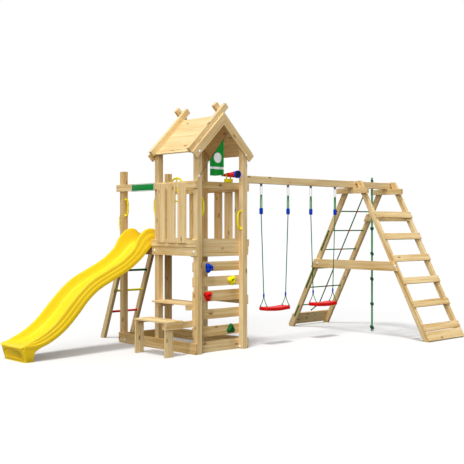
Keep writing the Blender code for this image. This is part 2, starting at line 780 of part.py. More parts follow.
def make_telescope(root):
    """A toy telescope: a turning fork on the front handrail, and a tapered tube that tips in it."""
    pan_x = 0.555
    pan_y = POST + GAP + JOIST / 2
    tilt_z = 2.034
    pan = empty_at("telescope_pan_pivot", (pan_x, pan_y, BEAM_Z), root)
    tilt = empty_at("telescope_tilt_pivot", (0, 0, tilt_z - BEAM_Z), pan)
    foot_z = BEAM_Z + GAP
    head_z = 1.978
    foot_profile = [
        (0.0, foot_z),
        (0.022, foot_z),
        (0.022, foot_z + 0.010),
        (0.016, foot_z + 0.016),
        (0.016, head_z),
        (0.0, head_z),
    ]
    base = turned("telescope_base", foot_profile, (pan_x, pan_y, 0.0), "Z", 16)
    cheek_x = 0.034
    cheek_thick = 0.006
    yoke = timber(
        "telescope_yoke",
        (pan_x - cheek_x - cheek_thick, pan_y - 0.016, 1.970),
        (pan_x + cheek_x + cheek_thick, pan_y + 0.016, 1.982),
        0,
        "yellow_plastic",
    )
    cheeks = [yoke]
    for number, sign in enumerate((-1, 1)):
        inner = pan_x + sign * cheek_x
        outer = pan_x + sign * (cheek_x + cheek_thick)
        low, high = min(inner, outer), max(inner, outer)
        outline = [(pan_y - 0.016, 1.971), (pan_y + 0.016, 1.971), (pan_y + 0.012, 2.040)]
        outline += [(pan_y, 2.046), (pan_y - 0.012, 2.040)]
        cheeks.append(prism(f"telescope_cheek_{number}", outline, low, high, "X", "yellow_plastic"))
    combine(base, cheeks)
    pin_radius = 0.005
    bore = turned(
        "telescope_pin_bore",
        [(pin_radius + GAP, -0.060), (pin_radius + GAP, 0.060)],
        (pan_x, pan_y, tilt_z),
        "X",
        12,
    )
    combine(base, [bore], "DIFFERENCE")
    outer_profile = [
        (0.0, -0.172),
        (0.0385, -0.172),
        (0.0385, -0.142),
        (0.0355, -0.138),
        (0.0300, -0.060),
        (0.0265, -0.052),
        (0.0250, 0.018),
        (0.0190, 0.026),
        (0.0165, 0.070),
        (0.0120, 0.076),
        (0.0105, 0.100),
        (0.0130, 0.108),
        (0.0, 0.108),
    ]
    centre = (pan_x, pan_y, tilt_z)
    tube = turned("telescope_tube", outer_profile, centre, "Y", 20, "red_plastic")
    bore_profile = [(0.0, 0.008), (0.0180, 0.008), (0.0245, -0.060), (0.0330, -0.180), (0.0, -0.180)]
    hollow = turned("telescope_bore", bore_profile, centre, "Y", 20, "red_plastic")
    reach = cheek_x + cheek_thick
    pin = turned("telescope_pin", [(pin_radius, -reach), (pin_radius, reach)], centre, "X", 12)
    combine(tube, [pin])
    combine(tube, [hollow], "DIFFERENCE")
    for piece in [base, bore] + cheeks:
        carry(piece, pan)
    for piece in (tube, pin, hollow):
        piece.parent = tilt
        piece.location = -(pan.location + tilt.location)


def make_flag():
    """A plain flag sewn to a taut cord that runs from the front left post up to the gable."""
    y = -0.0035
    cloth = [(0.392, 2.436), (0.392, 2.018), (0.180, 2.006), (0.180, 2.182)]
    flag = prism("flag", cloth, y - 0.0015, y + 0.0015, "Y", "green_cloth")
    rise = (cloth[0][1] - cloth[3][1]) / (cloth[0][0] - cloth[3][0])
    low_x = 0.034
    high_x = 0.4610
    low = Vector((low_x, y, cloth[3][1] + rise * (low_x - cloth[3][0])))
    high = Vector((high_x, y, cloth[3][1] + rise * (high_x - cloth[3][0])))
    cord = swept("flag_cord", [low, high], 0.0025, 6)
    combine(flag, [cord])


def make_swing_beam():
    """The square beam from the tower to the climbing frame, with four hanger brackets."""
    beam = timber("swing_beam", (WIDE + GAP, 0.0, BEAM_Z), (BEAM_END_X, POST, BEAM_Z + BEAM_TALL), 0)
    brackets = []
    plate_low = BEAM_Z - 0.005
    cheek_low = 1.913
    for number, x in enumerate(SWING_1_X + SWING_2_X, 1):
        low = (x - 0.025, 0.012, plate_low)
        brackets.append(timber(f"hanger_plate_{number}", low, (x + 0.025, 0.058, BEAM_Z + SINK), 0))
        for side in (-1, 1):
            low = (x + side * 0.016 - 0.002, BEAM_MID_Y - 0.010, cheek_low)
            high = (low[0] + 0.004, BEAM_MID_Y + 0.010, plate_low + SINK)
            brackets.append(timber(f"hanger_cheek_{number}_{side}", low, high, 0))
        pin = [(0.004, -0.0175), (0.004, 0.0175)]
        brackets.append(turned(f"hanger_pin_{number}", pin, (x, BEAM_MID_Y, SWING_AXIS_Z), "X", 10))
    combine(beam, brackets)
    hole_profile = [(0.0158, 1.90), (0.0158, 2.10)]
    hole = turned("rope_hole", hole_profile, (ROPE_X, BEAM_MID_Y, 0), "Z", 12, "wood")
    combine(beam, [hole], "DIFFERENCE")


def make_swing(name, xs, root):
    """One swing: a moulded seat, and on each side ring, sling, adjuster, rope, clip and V rope."""
    pivot = empty_at(f"{name}_pivot", (sum(xs) / 2, BEAM_MID_Y, SWING_AXIS_Z), root)
    low_xs = (xs[0] + SEAT_ROPE_INSET, xs[1] - SEAT_ROPE_INSET)
    for side, top_x, low_x in (("left", xs[0], low_xs[0]), ("right", xs[1], low_xs[1])):
        for piece in make_swing_rope(f"{name}_rope_{side}", top_x, low_x):
            carry(piece, pivot)
    carry(make_seat(f"{name}_seat", (xs[0] + xs[1]) / 2), pivot)


def make_swing_rope(name, top_x, low_x):
    y = BEAM_MID_Y
    ring = swept(name, circle((top_x, y, SWING_AXIS_Z - 0.0070), 0.0155, "X", 12), 0.0038, 6, True)
    sling_top = 1.902
    sling_low = 1.640
    half = 0.0095
    bend_z = sling_top - half
    sling = [Vector((top_x - half, y, sling_low)), Vector((top_x - half, y, bend_z))]
    for step in range(1, 4):
        angle = math.radians(180 - 45 * step)
        offset = Vector((half * math.cos(angle), 0.0, half * math.sin(angle)))
        sling.append(Vector((top_x, y, bend_z)) + offset)
    sling += [Vector((top_x + half, y, bend_z)), Vector((top_x + half, y, sling_low))]
    clip_high = 0.628
    clip_low = 0.572
    clip_profile = [
        (0.0, clip_high),
        (0.008, clip_high),
        (0.0105, 0.615),
        (0.0105, 0.588),
        (0.006, clip_low),
        (0.0, clip_low),
    ]
    adjuster_low = (top_x - 0.021, y - 0.013, 1.580)
    adjuster_high = (top_x + 0.021, y + 0.013, 1.655)
    line = [Vector((top_x, y, 1.590)), Vector((low_x, y, clip_low + 0.020))]
    pieces = [
        swept(f"{name}_sling", sling, 0.0035, 6, False, 2.2),
        timber(f"{name}_adjuster", adjuster_low, adjuster_high, 0.006),
        swept(f"{name}_line", line, 0.0045, 8),
        turned(f"{name}_clip", clip_profile, (low_x, y, 0.0), "Z", 10),
    ]
    spread = 0.058
    seat_z = SEAT_TOP_Z + GAP
    for number, sign in enumerate((-1, 1)):
        end = Vector((low_x, y + sign * spread, seat_z + 0.003))
        pieces.append(swept(f"{name}_v_{number}", [Vector((low_x, y, 0.584)), end], 0.0035, 6))
    knots = []
    for number, sign in enumerate((-1, 1)):
        profile = [(0.0, seat_z), (0.007, seat_z), (0.007, seat_z + 0.012), (0.0, seat_z + 0.016)]
        knots.append(turned(f"{name}_knot_{number}", profile, (low_x, y + sign * spread, 0), "Z", 8))
    combine(ring, pieces + knots)
    return [ring] + pieces + knots


def make_seat(name, mid_x):
    """A moulded seat: flat where the ropes hold it, dished between, with turned-up ends."""
    half = SEAT_LENGTH / 2
    thick = 0.028
    columns = 13
    top = []
    bottom = []
    for k in range(columns):
        s = 2 * k / (columns - 1) - 1
        lift = -0.012 * math.cos(math.pi * s / 2) ** 2
        top.append((mid_x + half * s, SEAT_TOP_Z + lift))
        bottom.append((mid_x + half * s, SEAT_TOP_Z + lift - thick * (1 - 0.25 * abs(s) ** 6)))
    low_y = BEAM_MID_Y - SEAT_WIDE / 2
    seat = prism(name, top + bottom[::-1], low_y, low_y + SEAT_WIDE, "Y", "red_plastic", 0.005)
    return seat


def leg_line(z, side, outer):
    """The y of one edge of a leg: side -1 is the tread side, side 1 the net side."""
    lean = BEAM_MID_Y + GAP + LEG_SLOPE * (LEG_TOP_Z - z) + (LEG_WIDE if outer else 0.0)
    return BEAM_MID_Y + side * lean


def leg_outline(side):
    inner_low = (leg_line(0, side, False), 0.0)
    outer_low = (leg_line(0, side, True), 0.0)
    outer_high = (leg_line(LEG_TOP_Z, side, True), LEG_TOP_Z)
    inner_high = (leg_line(LEG_TOP_Z, side, False), LEG_TOP_Z)
    return [inner_low, outer_low, outer_high, inner_high]


def face_board(side, low_z, high_z, thick, sink):
    """The outline of a board laid on the outer face of the legs."""
    tilt = math.atan(LEG_SLOPE)
    out = Vector((side * math.cos(tilt), math.sin(tilt)))
    low = Vector((leg_line(low_z, side, True), low_z))
    high = Vector((leg_line(high_z, side, True), high_z))
    corners = (low - out * sink, high - out * sink, high + out * thick, low + out * thick)
    return [(p.x, p.y) for p in corners]


def make_climbing_frame():
    """Step ladder, net legs, head pieces, cross bars and the net side's base board."""
    ladder_pieces = []
    for side, low_x, high_x in LEG_SPANS:
        ladder_pieces.append(prism(f"step_rail_{side}", leg_outline(-1), low_x, high_x, "X"))
    half = 0.040
    for number, z in enumerate(STEP_MIDS, 1):
        board = face_board(-1, z - half, z + half, 0.020, SINK)
        ladder_pieces.append(prism(f"tread_{number}", board, FRAME_LEFT_X, FRAME_RIGHT_X, "X"))
    base = face_board(-1, 0.030, 0.142, 0.020, SINK)
    ladder_pieces.append(prism("step_base_board", base, FRAME_LEFT_X, FRAME_RIGHT_X, "X"))
    ladder_pieces[0].name = "step_ladder"
    combine(ladder_pieces[0], ladder_pieces[1:])

    for side, low_x, high_x in LEG_SPANS:
        leg = prism(f"net_leg_{side}", leg_outline(1), low_x, high_x, "X")
        holes = []
        for number, z in enumerate(NET_LEVELS, 1):
            centre = ((low_x + high_x) / 2, net_y(z), z)
            bore = [(NET_ROPE + 0.0008, -0.04), (NET_ROPE + 0.0008, 0.04)]
            holes.append(turned(f"net_hole_{side}_{number}", bore, centre, "X", 10, "wood"))
        combine(leg, holes, "DIFFERENCE")
        bar_x = (low_x - GAP - LEG_THICK, low_x - GAP)
        timber(f"head_piece_{side}", (bar_x[0], -0.225, 1.870), (bar_x[1], 0.295, BEAM_Z - GAP))
        low_z, high_z = (0.862, 0.980) if side == "left" else (1.500, 1.605)
        short = 2 * EASE
        corners = [
            (leg_line(low_z, -1, True) + short, low_z),
            (leg_line(low_z, 1, True) - short, low_z),
            (leg_line(high_z, 1, True) - short, high_z),
            (leg_line(high_z, -1, True) + short, high_z),
        ]
        prism(f"cross_bar_{side}", corners, bar_x[0], bar_x[1], "X", ease=EASE)
    outline = face_board(1, 0.020, 0.140, 0.020, -GAP)
    board = prism("net_base_board", outline, FRAME_LEFT_X, FRAME_RIGHT_X, "X")
    bores = []
    tilt = math.atan(LEG_SLOPE)
    for number, (x, z) in enumerate(NET_TIES):
        middle = Vector((x, leg_line(z, 1, True), z))
        out = Vector((0, math.cos(tilt), math.sin(tilt)))
        route = [middle - out * 0.03, middle + out * 0.05]
        bores.append(swept(f"net_tie_hole_{number}", route, NET_ROPE + 0.0008, 10))
    combine(board, bores, "DIFFERENCE")


def net_y(z):
    """The net hangs in the middle plane of its legs."""
    return (leg_line(z, 1, False) + leg_line(z, 1, True)) / 2


def make_net():
    """One rope threaded to and fro through the legs, a middle rope, and a tie at each crossing."""
    outside = NET_ROPE + 0.0015
    left = FRAME_LEFT_X - outside
    right = FRAME_RIGHT_X + outside
    route = [Vector((left - 0.012, net_y(NET_LEVELS[0]), NET_LEVELS[0]))]
    for number, z in enumerate(NET_LEVELS):
        ends = (left, right) if number % 2 == 0 else (right, left)
        if number > 0:
            route.append(Vector((ends[0], net_y(z), z)))
        route.append(Vector((ends[1], net_y(z), z)))
    tail_z = 0.150
    route.append(Vector((left, net_y(tail_z), tail_z)))
    net = swept("climbing_net", route, NET_ROPE, 8)
    top_z = 1.845
    low_z = NET_LEVELS[-1] - 0.020
    middle = [Vector((NET_MIDDLE_X, net_y(z), z)) for z in (top_z, low_z)]
    pieces = [swept("net_middle_rope", middle, NET_ROPE, 8)]
    tilt = math.atan(LEG_SLOPE)
    out = Vector((0, math.cos(tilt), math.sin(tilt)))
    for number, (x, z) in enumerate(NET_TIES):
        anchor = Vector((x, leg_line(z, 1, True), z))
        crossing = Vector((NET_MIDDLE_X, net_y(NET_LEVELS[-1]), NET_LEVELS[-1]))
        tie = [crossing, anchor - out * 0.012, anchor + out * 0.034]
        pieces.append(swept(f"net_tie_{number}", tie, NET_ROPE, 8))
    half_profile = [(0.0, -0.017), (0.009, -0.017), (0.0125, -0.008)]
    cross_profile = half_profile + [(radius, -along) for radius, along in half_profile[::-1]]
    for number, z in enumerate(NET_LEVELS):
        centre = (NET_MIDDLE_X, net_y(z), z)
        pieces.append(turned(f"net_cross_{number}", cross_profile, centre, "X", 10, "red_plastic"))
    knot = [(0.0, -0.013), (0.009, -0.011), (0.0125, 0.0), (0.009, 0.011), (0.0, 0.013)]
    start = (left - 0.012, net_y(NET_LEVELS[0]), NET_LEVELS[0])
    pieces.append(turned("net_start_knot", knot, start, "X", 10))
    combine(net, pieces)


def make_knotted_rope():
    """The climbing rope: held by the knot on top of the beam, with five knots to climb on."""
    thick = 0.0135
    knots = (
        (2.073, 1.95),
        (1.402, 1.75),
        (1.059, 1.75),
        (0.716, 1.75),
        (0.374, 1.75),
        (0.055, 2.10),
    )
    upper_shape = [(0.030, 1.0), (0.021, 0.72), (0.009, 0.97)]
    shape = upper_shape + [(-offset, share) for offset, share in upper_shape[::-1]]
    points = [(2.098, 0.75)]
    for z, swell in knots:
        for offset, share in shape:
            grow = 1.0 if abs(offset) >= 0.030 else swell * share / 0.97
            points.append((z + offset, grow))
        if z > 1.0 and z < 2.0:
            points.append((z - 0.17, 1.0))
    points = [(z, grow) for z, grow in points if 0.004 < z < 2.0985]
    points.append((0.006, 0.9))
    points = sorted(set(points), reverse=True)
    curve = bpy.data.curves.new("knotted_rope", "CURVE")
    curve.dimensions = "3D"
    curve.bevel_depth = thick
    curve.bevel_resolution = 2
    curve.use_fill_caps = True
    curve.resolution_u = 1
    spline = curve.splines.new("POLY")
    spline.points.add(len(points) - 1)
    for point, (z, grow) in zip(spline.points, points):
        point.co = (ROPE_X, BEAM_MID_Y, z, 1.0)
        point.radius = grow
    curve.materials.append(material("green_rope"))
    rope = bpy.data.objects.new("knotted_rope", curve)
    rope.parent = bpy.data.objects["tower_origin"]
    bpy.context.scene.collection.objects.link(rope)


def centre_on_floor(root):
    """Move the whole tower so that the middle of its footprint is the origin."""
    bpy.context.view_layer.update()
    graph = bpy.context.evaluated_depsgraph_get()
    xs = []
    ys = []
    for obj in bpy.data.objects:
        if obj.type == "EMPTY" or obj.hide_render:
            continue
        shape = obj.evaluated_get(graph)
        for vertex in shape.to_mesh().vertices:
            place = obj.matrix_world @ vertex.co
            xs.append(place.x)
            ys.append(place.y)
        shape.to_mesh_clear()
    root.location = (-(min(xs) + max(xs)) / 2, -(min(ys) + max(ys)) / 2, 0.0)
    bpy.context.view_layer.update()
    print("tower origin", [round(value, 5) for value in root.location])
    print("size", round(max(xs) - min(xs), 4), round(max(ys) - min(ys), 4))


def main():
    clear_scene()
    root = empty_at("tower_origin", (0.0, 0.0, 0.0))
    make_posts()
    make_sandbox()
    make_deck()
    make_front_beam()
    make_railings()
    make_climbing_wall()
    make_roof()
    make_table()
    make_bench()
    make_ladder()
    make_slide()
    make_handles()
    make_steering_wheel(root)
    make_telescope(root)
    make_flag()
    make_swing_beam()
    make_swing("swing_1", SWING_1_X, root)
    make_swing("swing_2", SWING_2_X, root)
    make_climbing_frame()
    make_net()
    make_knotted_rope()
    centre_on_floor(root)


main()
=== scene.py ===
"""Looks of a wooden play tower with slide, picnic table, swings and climbing frame.

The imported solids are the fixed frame. Places are metres in the tower's own frame, whose zero is the
outer front left corner of the front left post, with x along the swing beam and y towards the rear
ladder. Each sub-assembly is a class: its sizes are fields, and its build method makes and hands over
its pieces.
"""

import logging
import math
import random
from dataclasses import dataclass, field
from enum import Enum
from typing import Iterable, Sequence

import bpy
from mathutils import Euler, Matrix, Vector


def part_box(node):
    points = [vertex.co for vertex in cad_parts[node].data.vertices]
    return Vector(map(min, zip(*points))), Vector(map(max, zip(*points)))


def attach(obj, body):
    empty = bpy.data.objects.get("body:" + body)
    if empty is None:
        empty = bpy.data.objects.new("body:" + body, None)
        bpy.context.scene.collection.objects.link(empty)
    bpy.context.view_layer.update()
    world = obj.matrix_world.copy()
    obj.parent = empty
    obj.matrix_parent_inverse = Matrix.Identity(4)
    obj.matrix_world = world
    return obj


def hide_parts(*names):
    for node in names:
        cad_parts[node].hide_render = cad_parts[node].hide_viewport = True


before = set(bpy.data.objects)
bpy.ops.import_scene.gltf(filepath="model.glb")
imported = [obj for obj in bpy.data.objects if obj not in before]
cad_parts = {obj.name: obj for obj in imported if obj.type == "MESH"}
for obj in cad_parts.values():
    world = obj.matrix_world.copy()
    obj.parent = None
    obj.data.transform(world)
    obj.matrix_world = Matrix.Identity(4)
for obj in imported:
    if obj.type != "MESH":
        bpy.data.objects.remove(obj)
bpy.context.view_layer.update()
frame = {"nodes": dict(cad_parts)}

LOG = logging.getLogger("play_tower")
Point = tuple[float, float, float]
Colour = tuple[float, float, float]
Span = tuple[float, float]
Profile = tuple[Span, ...]
Cuts = tuple[tuple[Point, Point], ...]
Rows = tuple[tuple[float, ...], ...]
Body = bpy.types.Object
Node = bpy.types.Node
Tree = bpy.types.NodeTree
Socket = bpy.types.NodeSocket

TOWER = "tower"

# Driving sizes of the timber, as in the solids
POST = 0.07
BAY_X = 0.7
BAY_Y = 0.705
WIDE = BAY_X + POST
DEEP = 2 * BAY_Y + POST
BOARD = 0.018
RAIL = 0.03
JOIST = 0.045
GAP = 0.0003
DECK_Z = 1.2
BEAM_Z = 1.945
BEAM_MID_Y = POST / 2
ROOF_MID = WIDE / 2
ROOF_PEAK_Z = 2.715
ROOT_TWO = math.sqrt(2)
FRAME_LEFT_X = 2.765
FRAME_RIGHT_X = 3.55
LEG_THICK = 0.045
LEG_WIDE = 0.077
LEG_SLOPE = 0.527
LEG_TOP_Z = 2.04
LEG_TILT = math.atan(LEG_SLOPE)

# Front and rear edge of each upright board
LEFT_UPRIGHTS = ((0.53, 0.675), (0.345, 0.48), (0.152, 0.295))
RIGHT_UPRIGHTS = (
    (0.12, 0.253), (0.304, 0.436), (0.489, 0.622), (0.796, 0.92), (0.968, 1.1), (1.175, 1.307),
)
WHITE_LIGHT = (1.0, 1.0, 1.0)


class Axis(Enum):
    """The direction in which a board's grain runs, in the board's own frame."""

    X = 0
    Y = 1
    Z = 2


class Finish(Enum):
    """The finishes of the tower's pieces."""

    PINE = "pine"
    YELLOW = "yellow_plastic"
    LEMON = "lemon_plastic"
    RED = "red_plastic"
    BLUE = "blue_plastic"
    GREEN = "green_plastic"
    SIGN = "sign_green_plastic"
    WHITE = "white_plastic"
    BLACK = "black_plastic"
    STEEL = "steel"
    ROPE = "green_rope"
    TWINE = "pale_climbing_rope"
    # The rope's knots: the same rope, coloured darker as painted shade of their wound turns.
    KNOT = "dark_knots"
    CORD = "grey_cord"
    WEBBING = "green_webbing"
    CLOTH = "green_cloth"

    @property
    def slot(self) -> str:
        """The record's material slot for this finish."""
        return SHARED_SLOTS.get(self, self).value


SHARED_SLOTS = {
    Finish.LEMON: Finish.YELLOW, Finish.SIGN: Finish.GREEN, Finish.WEBBING: Finish.ROPE, Finish.TWINE: Finish.ROPE,
    Finish.KNOT: Finish.ROPE, Finish.CORD: Finish.ROPE,
}


class Graph:
    """Short calls that add nodes to one node tree and join them."""

    def __init__(self, tree: Tree) -> None:
        """Keep the tree of a material, a world or a group."""
        self.tree = tree

    def fill(self, node: Node, inputs: dict[str | int, object]) -> Node:
        """Link or set a node's inputs.

        Args:
            node: the node.
            inputs: sockets, numbers, vectors or colours of three parts, by the input's name or number.

        Returns:
            The same node.
        """
        for key, value in inputs.items():
            socket = node.inputs[key]
            if isinstance(value, Socket):
                self.tree.links.new(value, socket)
            else:
                socket.default_value = (*value, 1.0) if socket.type == "RGBA" else value
        return node

    def add(self, kind: str, inputs: dict[str | int, object] | None = None, **settings: object) -> Node:
        """Add one shader node.

        Args:
            kind: the node's type without its ShaderNode prefix.
            inputs: values or sockets for its inputs, by name or number.
            **settings: the node's own settings.

        Returns:
            The new node.
        """
        made = self.tree.nodes.new("ShaderNode" + kind)
        for name, value in settings.items():
            setattr(made, name, value)
        return self.fill(made, inputs or {})

    def math(self, operation: str, first: object, second: object = 0.0) -> Socket:
        """The result of one Math node."""
        return self.add("Math", {0: first, 1: second}, operation=operation).outputs[0]

    def with_share(self, total: object, value: object, share: float) -> Socket:
        """A total to which a share of one more value is added."""
        return self.add("Math", {0: value, 1: share, 2: total}, operation="MULTIPLY_ADD").outputs[0]

    def scale(self, vector: object, by: Point) -> Socket:
        """A vector multiplied part by part."""
        return self.add("VectorMath", {0: vector, 1: by}, operation="MULTIPLY").outputs[0]

    def moved(self, vector: object, by: object) -> Socket:
        """A vector with another one added."""
        return self.add("VectorMath", {0: vector, 1: by}, operation="ADD").outputs[0]

    def noise(self, vector: object, scale: float, detail: float, roughness: float = 0.55) -> Socket:
        """Fractal noise from 0 to 1, by its features per unit, its finer layers and their share."""
        inputs = {"Vector": vector, "Scale": scale, "Detail": detail, "Roughness": roughness}
        return self.add("TexNoise", inputs).outputs["Fac"]

    def ramp(self, value: object, low: float, high: float, out_low: float = 0.0, out_high: float = 1.0) -> Socket:
        """A smooth step from out_low to out_high while a value goes from low to high."""
        inputs = {0: value, 1: low, 2: high, 3: out_low, 4: out_high}
        return self.add("MapRange", inputs, interpolation_type="SMOOTHSTEP").outputs[0]

    def blend(self, factor: object, first: object, second: object, share: float = 1.0) -> Socket:
        """A mix of two colours, by the share of the second."""
        factor = factor if share == 1.0 else self.math("MULTIPLY", factor, share)
        return self.add("Mix", {0: factor, 6: first, 7: second}, data_type="RGBA").outputs[2]


def new_group(name: str, inputs: dict[str, str]) -> tuple[Graph, bpy.types.bpy_prop_collection]:
    """Start a shader node group that puts out a colour, a roughness and a height.

    Args:
        name: the group's name.
        inputs: socket name to socket type, such as Float.

    Returns:
        A graph to fill it with, and what its input node gives, by name.
    """
    group = bpy.data.node_groups.new(name, "ShaderNodeTree")
    outputs = {"Color": "Color", "Roughness": "Float", "Height": "Float"}
    for way, sockets in (("INPUT", inputs), ("OUTPUT", outputs)):
        for label, kind in sockets.items():
            group.interface.new_socket(label, in_out=way, socket_type="NodeSocket" + kind)
    return Graph(group), group.nodes.new("NodeGroupInput").outputs


def close_group(graph: Graph, colour: Socket, roughness: Socket, height: Socket) -> Tree:
    """Join a group's three results to its output node, and return the group."""
    graph.fill(graph.tree.nodes.new("NodeGroupOutput"), {"Color": colour, "Roughness": roughness, "Height": height})
    return graph.tree


@dataclass(frozen=True)
class PineGroup:
    """Planed pine: growth rings round a heart, streaks along the grain, and brown knots."""

    streak_stretch: Point = (0.9, 16.0, 16.0)
    cloud_stretch: Point = (1.0, 3.0, 3.0)
    fibre_stretch: Point = (9.0, 420.0, 420.0)
    ring_pull: Point = (0.05, 1.0, 1.0)
    ring_scale: float = 24.0
    knot_stretch: Point = (5.5, 13.0, 13.0)
    knot_rarity: float = 0.66
    knot_warp: Point = (0.012, 0.012, 0.012)
    streak_share: float = 0.52
    ring_share: float = 0.34
    cloud_share: float = 0.22
    tone_and_painted_shade_share: float = 0.42
    knot_share: float = 0.82
    fibre_share: float = 0.16

    def build(self) -> Tree:
        """Make the group, whose Place runs along the grain in x.

        Returns:
            The node group for every piece of pine.
        """
        inputs = {"Place": "Vector", "Tone and painted shade": "Float", "Pale": "Color", "Deep": "Color", "Knot": "Color"}
        graph, given = new_group("pine_grain", inputs)
        place = given["Place"]
        knots = self.knots(graph, place)
        rings = self.rings(graph, place, knots)
        streak = graph.noise(graph.scale(place, self.streak_stretch), 1.6, 5.0, 0.6)
        cloud = graph.noise(graph.scale(place, self.cloud_stretch), 1.3, 2.0)
        fibre = graph.noise(graph.scale(place, self.fibre_stretch), 1.0, 2.0, 0.6)
        depth = graph.math("MULTIPLY", graph.ramp(streak, 0.32, 0.7), self.streak_share)
        depth = graph.with_share(depth, rings, self.ring_share)
        depth = graph.with_share(depth, graph.ramp(cloud, 0.35, 0.7), self.cloud_share)
        # The board's tone pales or darkens the whole board, and it carries the painted shade and painted light set for
        # each board.
        depth = graph.with_share(depth, graph.math("SUBTRACT", given["Tone and painted shade"], 0.5), self.tone_and_painted_shade_share)
        colour = graph.blend(graph.math("MINIMUM", depth, 1.0), given["Pale"], given["Deep"])
        colour = graph.blend(knots, colour, given["Knot"], self.knot_share)
        colour = graph.blend(fibre, colour, given["Deep"], self.fibre_share)
        height = graph.with_share(graph.math("MULTIPLY", rings, -0.35), fibre, 0.25)
        height = graph.with_share(height, knots, -0.5)
        return close_group(graph, colour, graph.ramp(streak, 0.2, 0.8, 0.52, 0.7), height)

    def knots(self, graph: Graph, place: Socket) -> Socket:
        """A mask of the knots.

        Args:
            graph: the group's graph.
            place: the grain place.

        Returns:
            1 in a knot, 0 away from it.
        """
        bent = graph.add("TexNoise", {"Vector": place, "Scale": 30.0, "Detail": 1.0}).outputs["Color"]
        bent = graph.moved(place, graph.scale(bent, self.knot_warp))
        cells = graph.add("TexVoronoi", {"Vector": graph.scale(bent, self.knot_stretch), "Scale": 1.0})
        pick = graph.add("SeparateColor", {0: cells.outputs["Color"]}).outputs[0]
        near = graph.ramp(cells.outputs["Distance"], 0.09, 0.24, 1.0, 0.0)
        return graph.math("MULTIPLY", near, graph.math("GREATER_THAN", pick, self.knot_rarity))

    def rings(self, graph: Graph, place: Socket, knots: Socket) -> Socket:
        """Late wood lines round a heart that lies beside the board.

        Args:
            graph: the group's graph.
            place: the grain place.
            knots: the knots' mask, round which the lines bend.

        Returns:
            1 on a dark line, 0 between.
        """
        bend = graph.add("CombineXYZ", {1: graph.math("MULTIPLY", knots, 0.02)}).outputs[0]
        bent = graph.moved(graph.scale(place, self.ring_pull), bend)
        inputs = {"Vector": bent, "Scale": self.ring_scale, "Distortion": 5.0, "Detail": 2.0}
        inputs.update({"Detail Scale": 1.1, "Detail Roughness": 0.6})
        wave = graph.add("TexWave", inputs, wave_type="RINGS", rings_direction="X").outputs["Fac"]
        return graph.ramp(wave, 0.45, 1.0)


@dataclass(frozen=True)
class SurfaceGroup:
    """Small unevenness of a moulded or drawn surface: mottled gloss, faint scratches and dust."""

    mottle_scale: float = 38.0
    scratch_stretch: Point = (260.0, 12.0, 160.0)
    scratch_share: float = 0.1
    scratch_matt: float = 0.12

    def build(self) -> Tree:
        """Make the group.

        Returns:
            The node group for the plastics and the steel.
        """
        inputs = {"Place": "Vector", "Tint": "Color", "Dust": "Color", "Gloss": "Float", "Spread": "Float"}
        graph, given = new_group("worn_surface", inputs)
        place = given["Place"]
        mottle = graph.noise(place, self.mottle_scale, 4.0, 0.6)
        cloud = graph.noise(place, 5.0, 3.0, 0.5)
        scratch = graph.ramp(graph.noise(graph.scale(place, self.scratch_stretch), 1.0, 2.0), 0.66, 0.74)
        colour = graph.blend(graph.ramp(cloud, 0.35, 0.75, 0.0, 0.1), given["Tint"], given["Dust"])
        colour = graph.blend(scratch, colour, given["Dust"], self.scratch_share)
        rough = graph.with_share(given["Gloss"], mottle, given["Spread"])
        rough = graph.with_share(rough, scratch, self.scratch_matt)
        height = graph.math("SUBTRACT", graph.math("MULTIPLY", mottle, 0.5), scratch)
        return close_group(graph, colour, rough, height)


@dataclass(frozen=True)
class StrandGroup:
    """Laid rope read from a map of metres along it and turns round it, with painted shade in the grooves between its
    strands and yarns.
    """

    strands: float = 3.0
    yarns: float = 12.0

    def build(self) -> Tree:
        """Make the group.

        Returns:
            The node group for the rope finishes.
        """
        inputs = {"Along": "Float", "Round": "Float", "Pitch": "Float", "Light": "Color", "Dark": "Color"}
        graph, given = new_group("laid_rope", inputs)
        turns = graph.math("DIVIDE", given["Along"], given["Pitch"])
        lay = self.stripe(graph, given["Round"], turns, self.strands, 1.0)
        yarn = self.stripe(graph, given["Round"], turns, self.yarns, -3.0)
        depth = graph.with_share(graph.math("MULTIPLY", lay, 0.75), yarn, 0.25)
        # Painted shade: the grooves between strands and yarns take the dark colour, and the crowns take the light one.
        colour = graph.blend(depth, given["Dark"], given["Light"])
        return close_group(graph, colour, graph.ramp(depth, 0.0, 1.0, 0.95, 0.72), depth)

    @staticmethod
    def stripe(graph: Graph, around: Socket, turns: Socket, count: float, pace: float) -> Socket:
        """Rounded stripes, 1 on their crowns and 0 between, by their count round the rope and their pace along it."""
        phase = graph.with_share(graph.math("MULTIPLY", around, count), turns, pace)
        return graph.math("ABSOLUTE", graph.math("SINE", graph.math("MULTIPLY", phase, math.pi)))


@dataclass(frozen=True)
class WeaveGroup:
    """Plain woven cloth in the plane of x and z."""

    threads: float = 700.0

    def build(self) -> Tree:
        """Make the group.

        Returns:
            The node group for cloth and webbing.
        """
        graph, given = new_group("plain_weave", {"Place": "Vector", "Light": "Color", "Dark": "Color"})
        parts = graph.add("SeparateXYZ", {0: given["Place"]}).outputs
        warp, weft = (graph.math("SINE", graph.math("MULTIPLY", parts[i], self.threads * math.pi)) for i in (0, 2))
        weave = graph.with_share(0.5, graph.math("MULTIPLY", warp, weft), 0.5)
        fade = graph.noise(given["Place"], 14.0, 4.0, 0.6)
        depth = graph.with_share(graph.math("MULTIPLY", weave, 0.35), fade, 0.65)
        colour = graph.blend(depth, given["Dark"], given["Light"])
        return close_group(graph, colour, graph.ramp(fade, 0.2, 0.8, 0.78, 0.92), weave)


@dataclass(frozen=True)
class Plastic:
    """One colour of moulded plastic, or one bare metal."""

    tint: Colour
    dust: Colour
    gloss: float = 0.26
    spread: float = 0.16
    metal: float = 0.0
    bump: float = 0.1


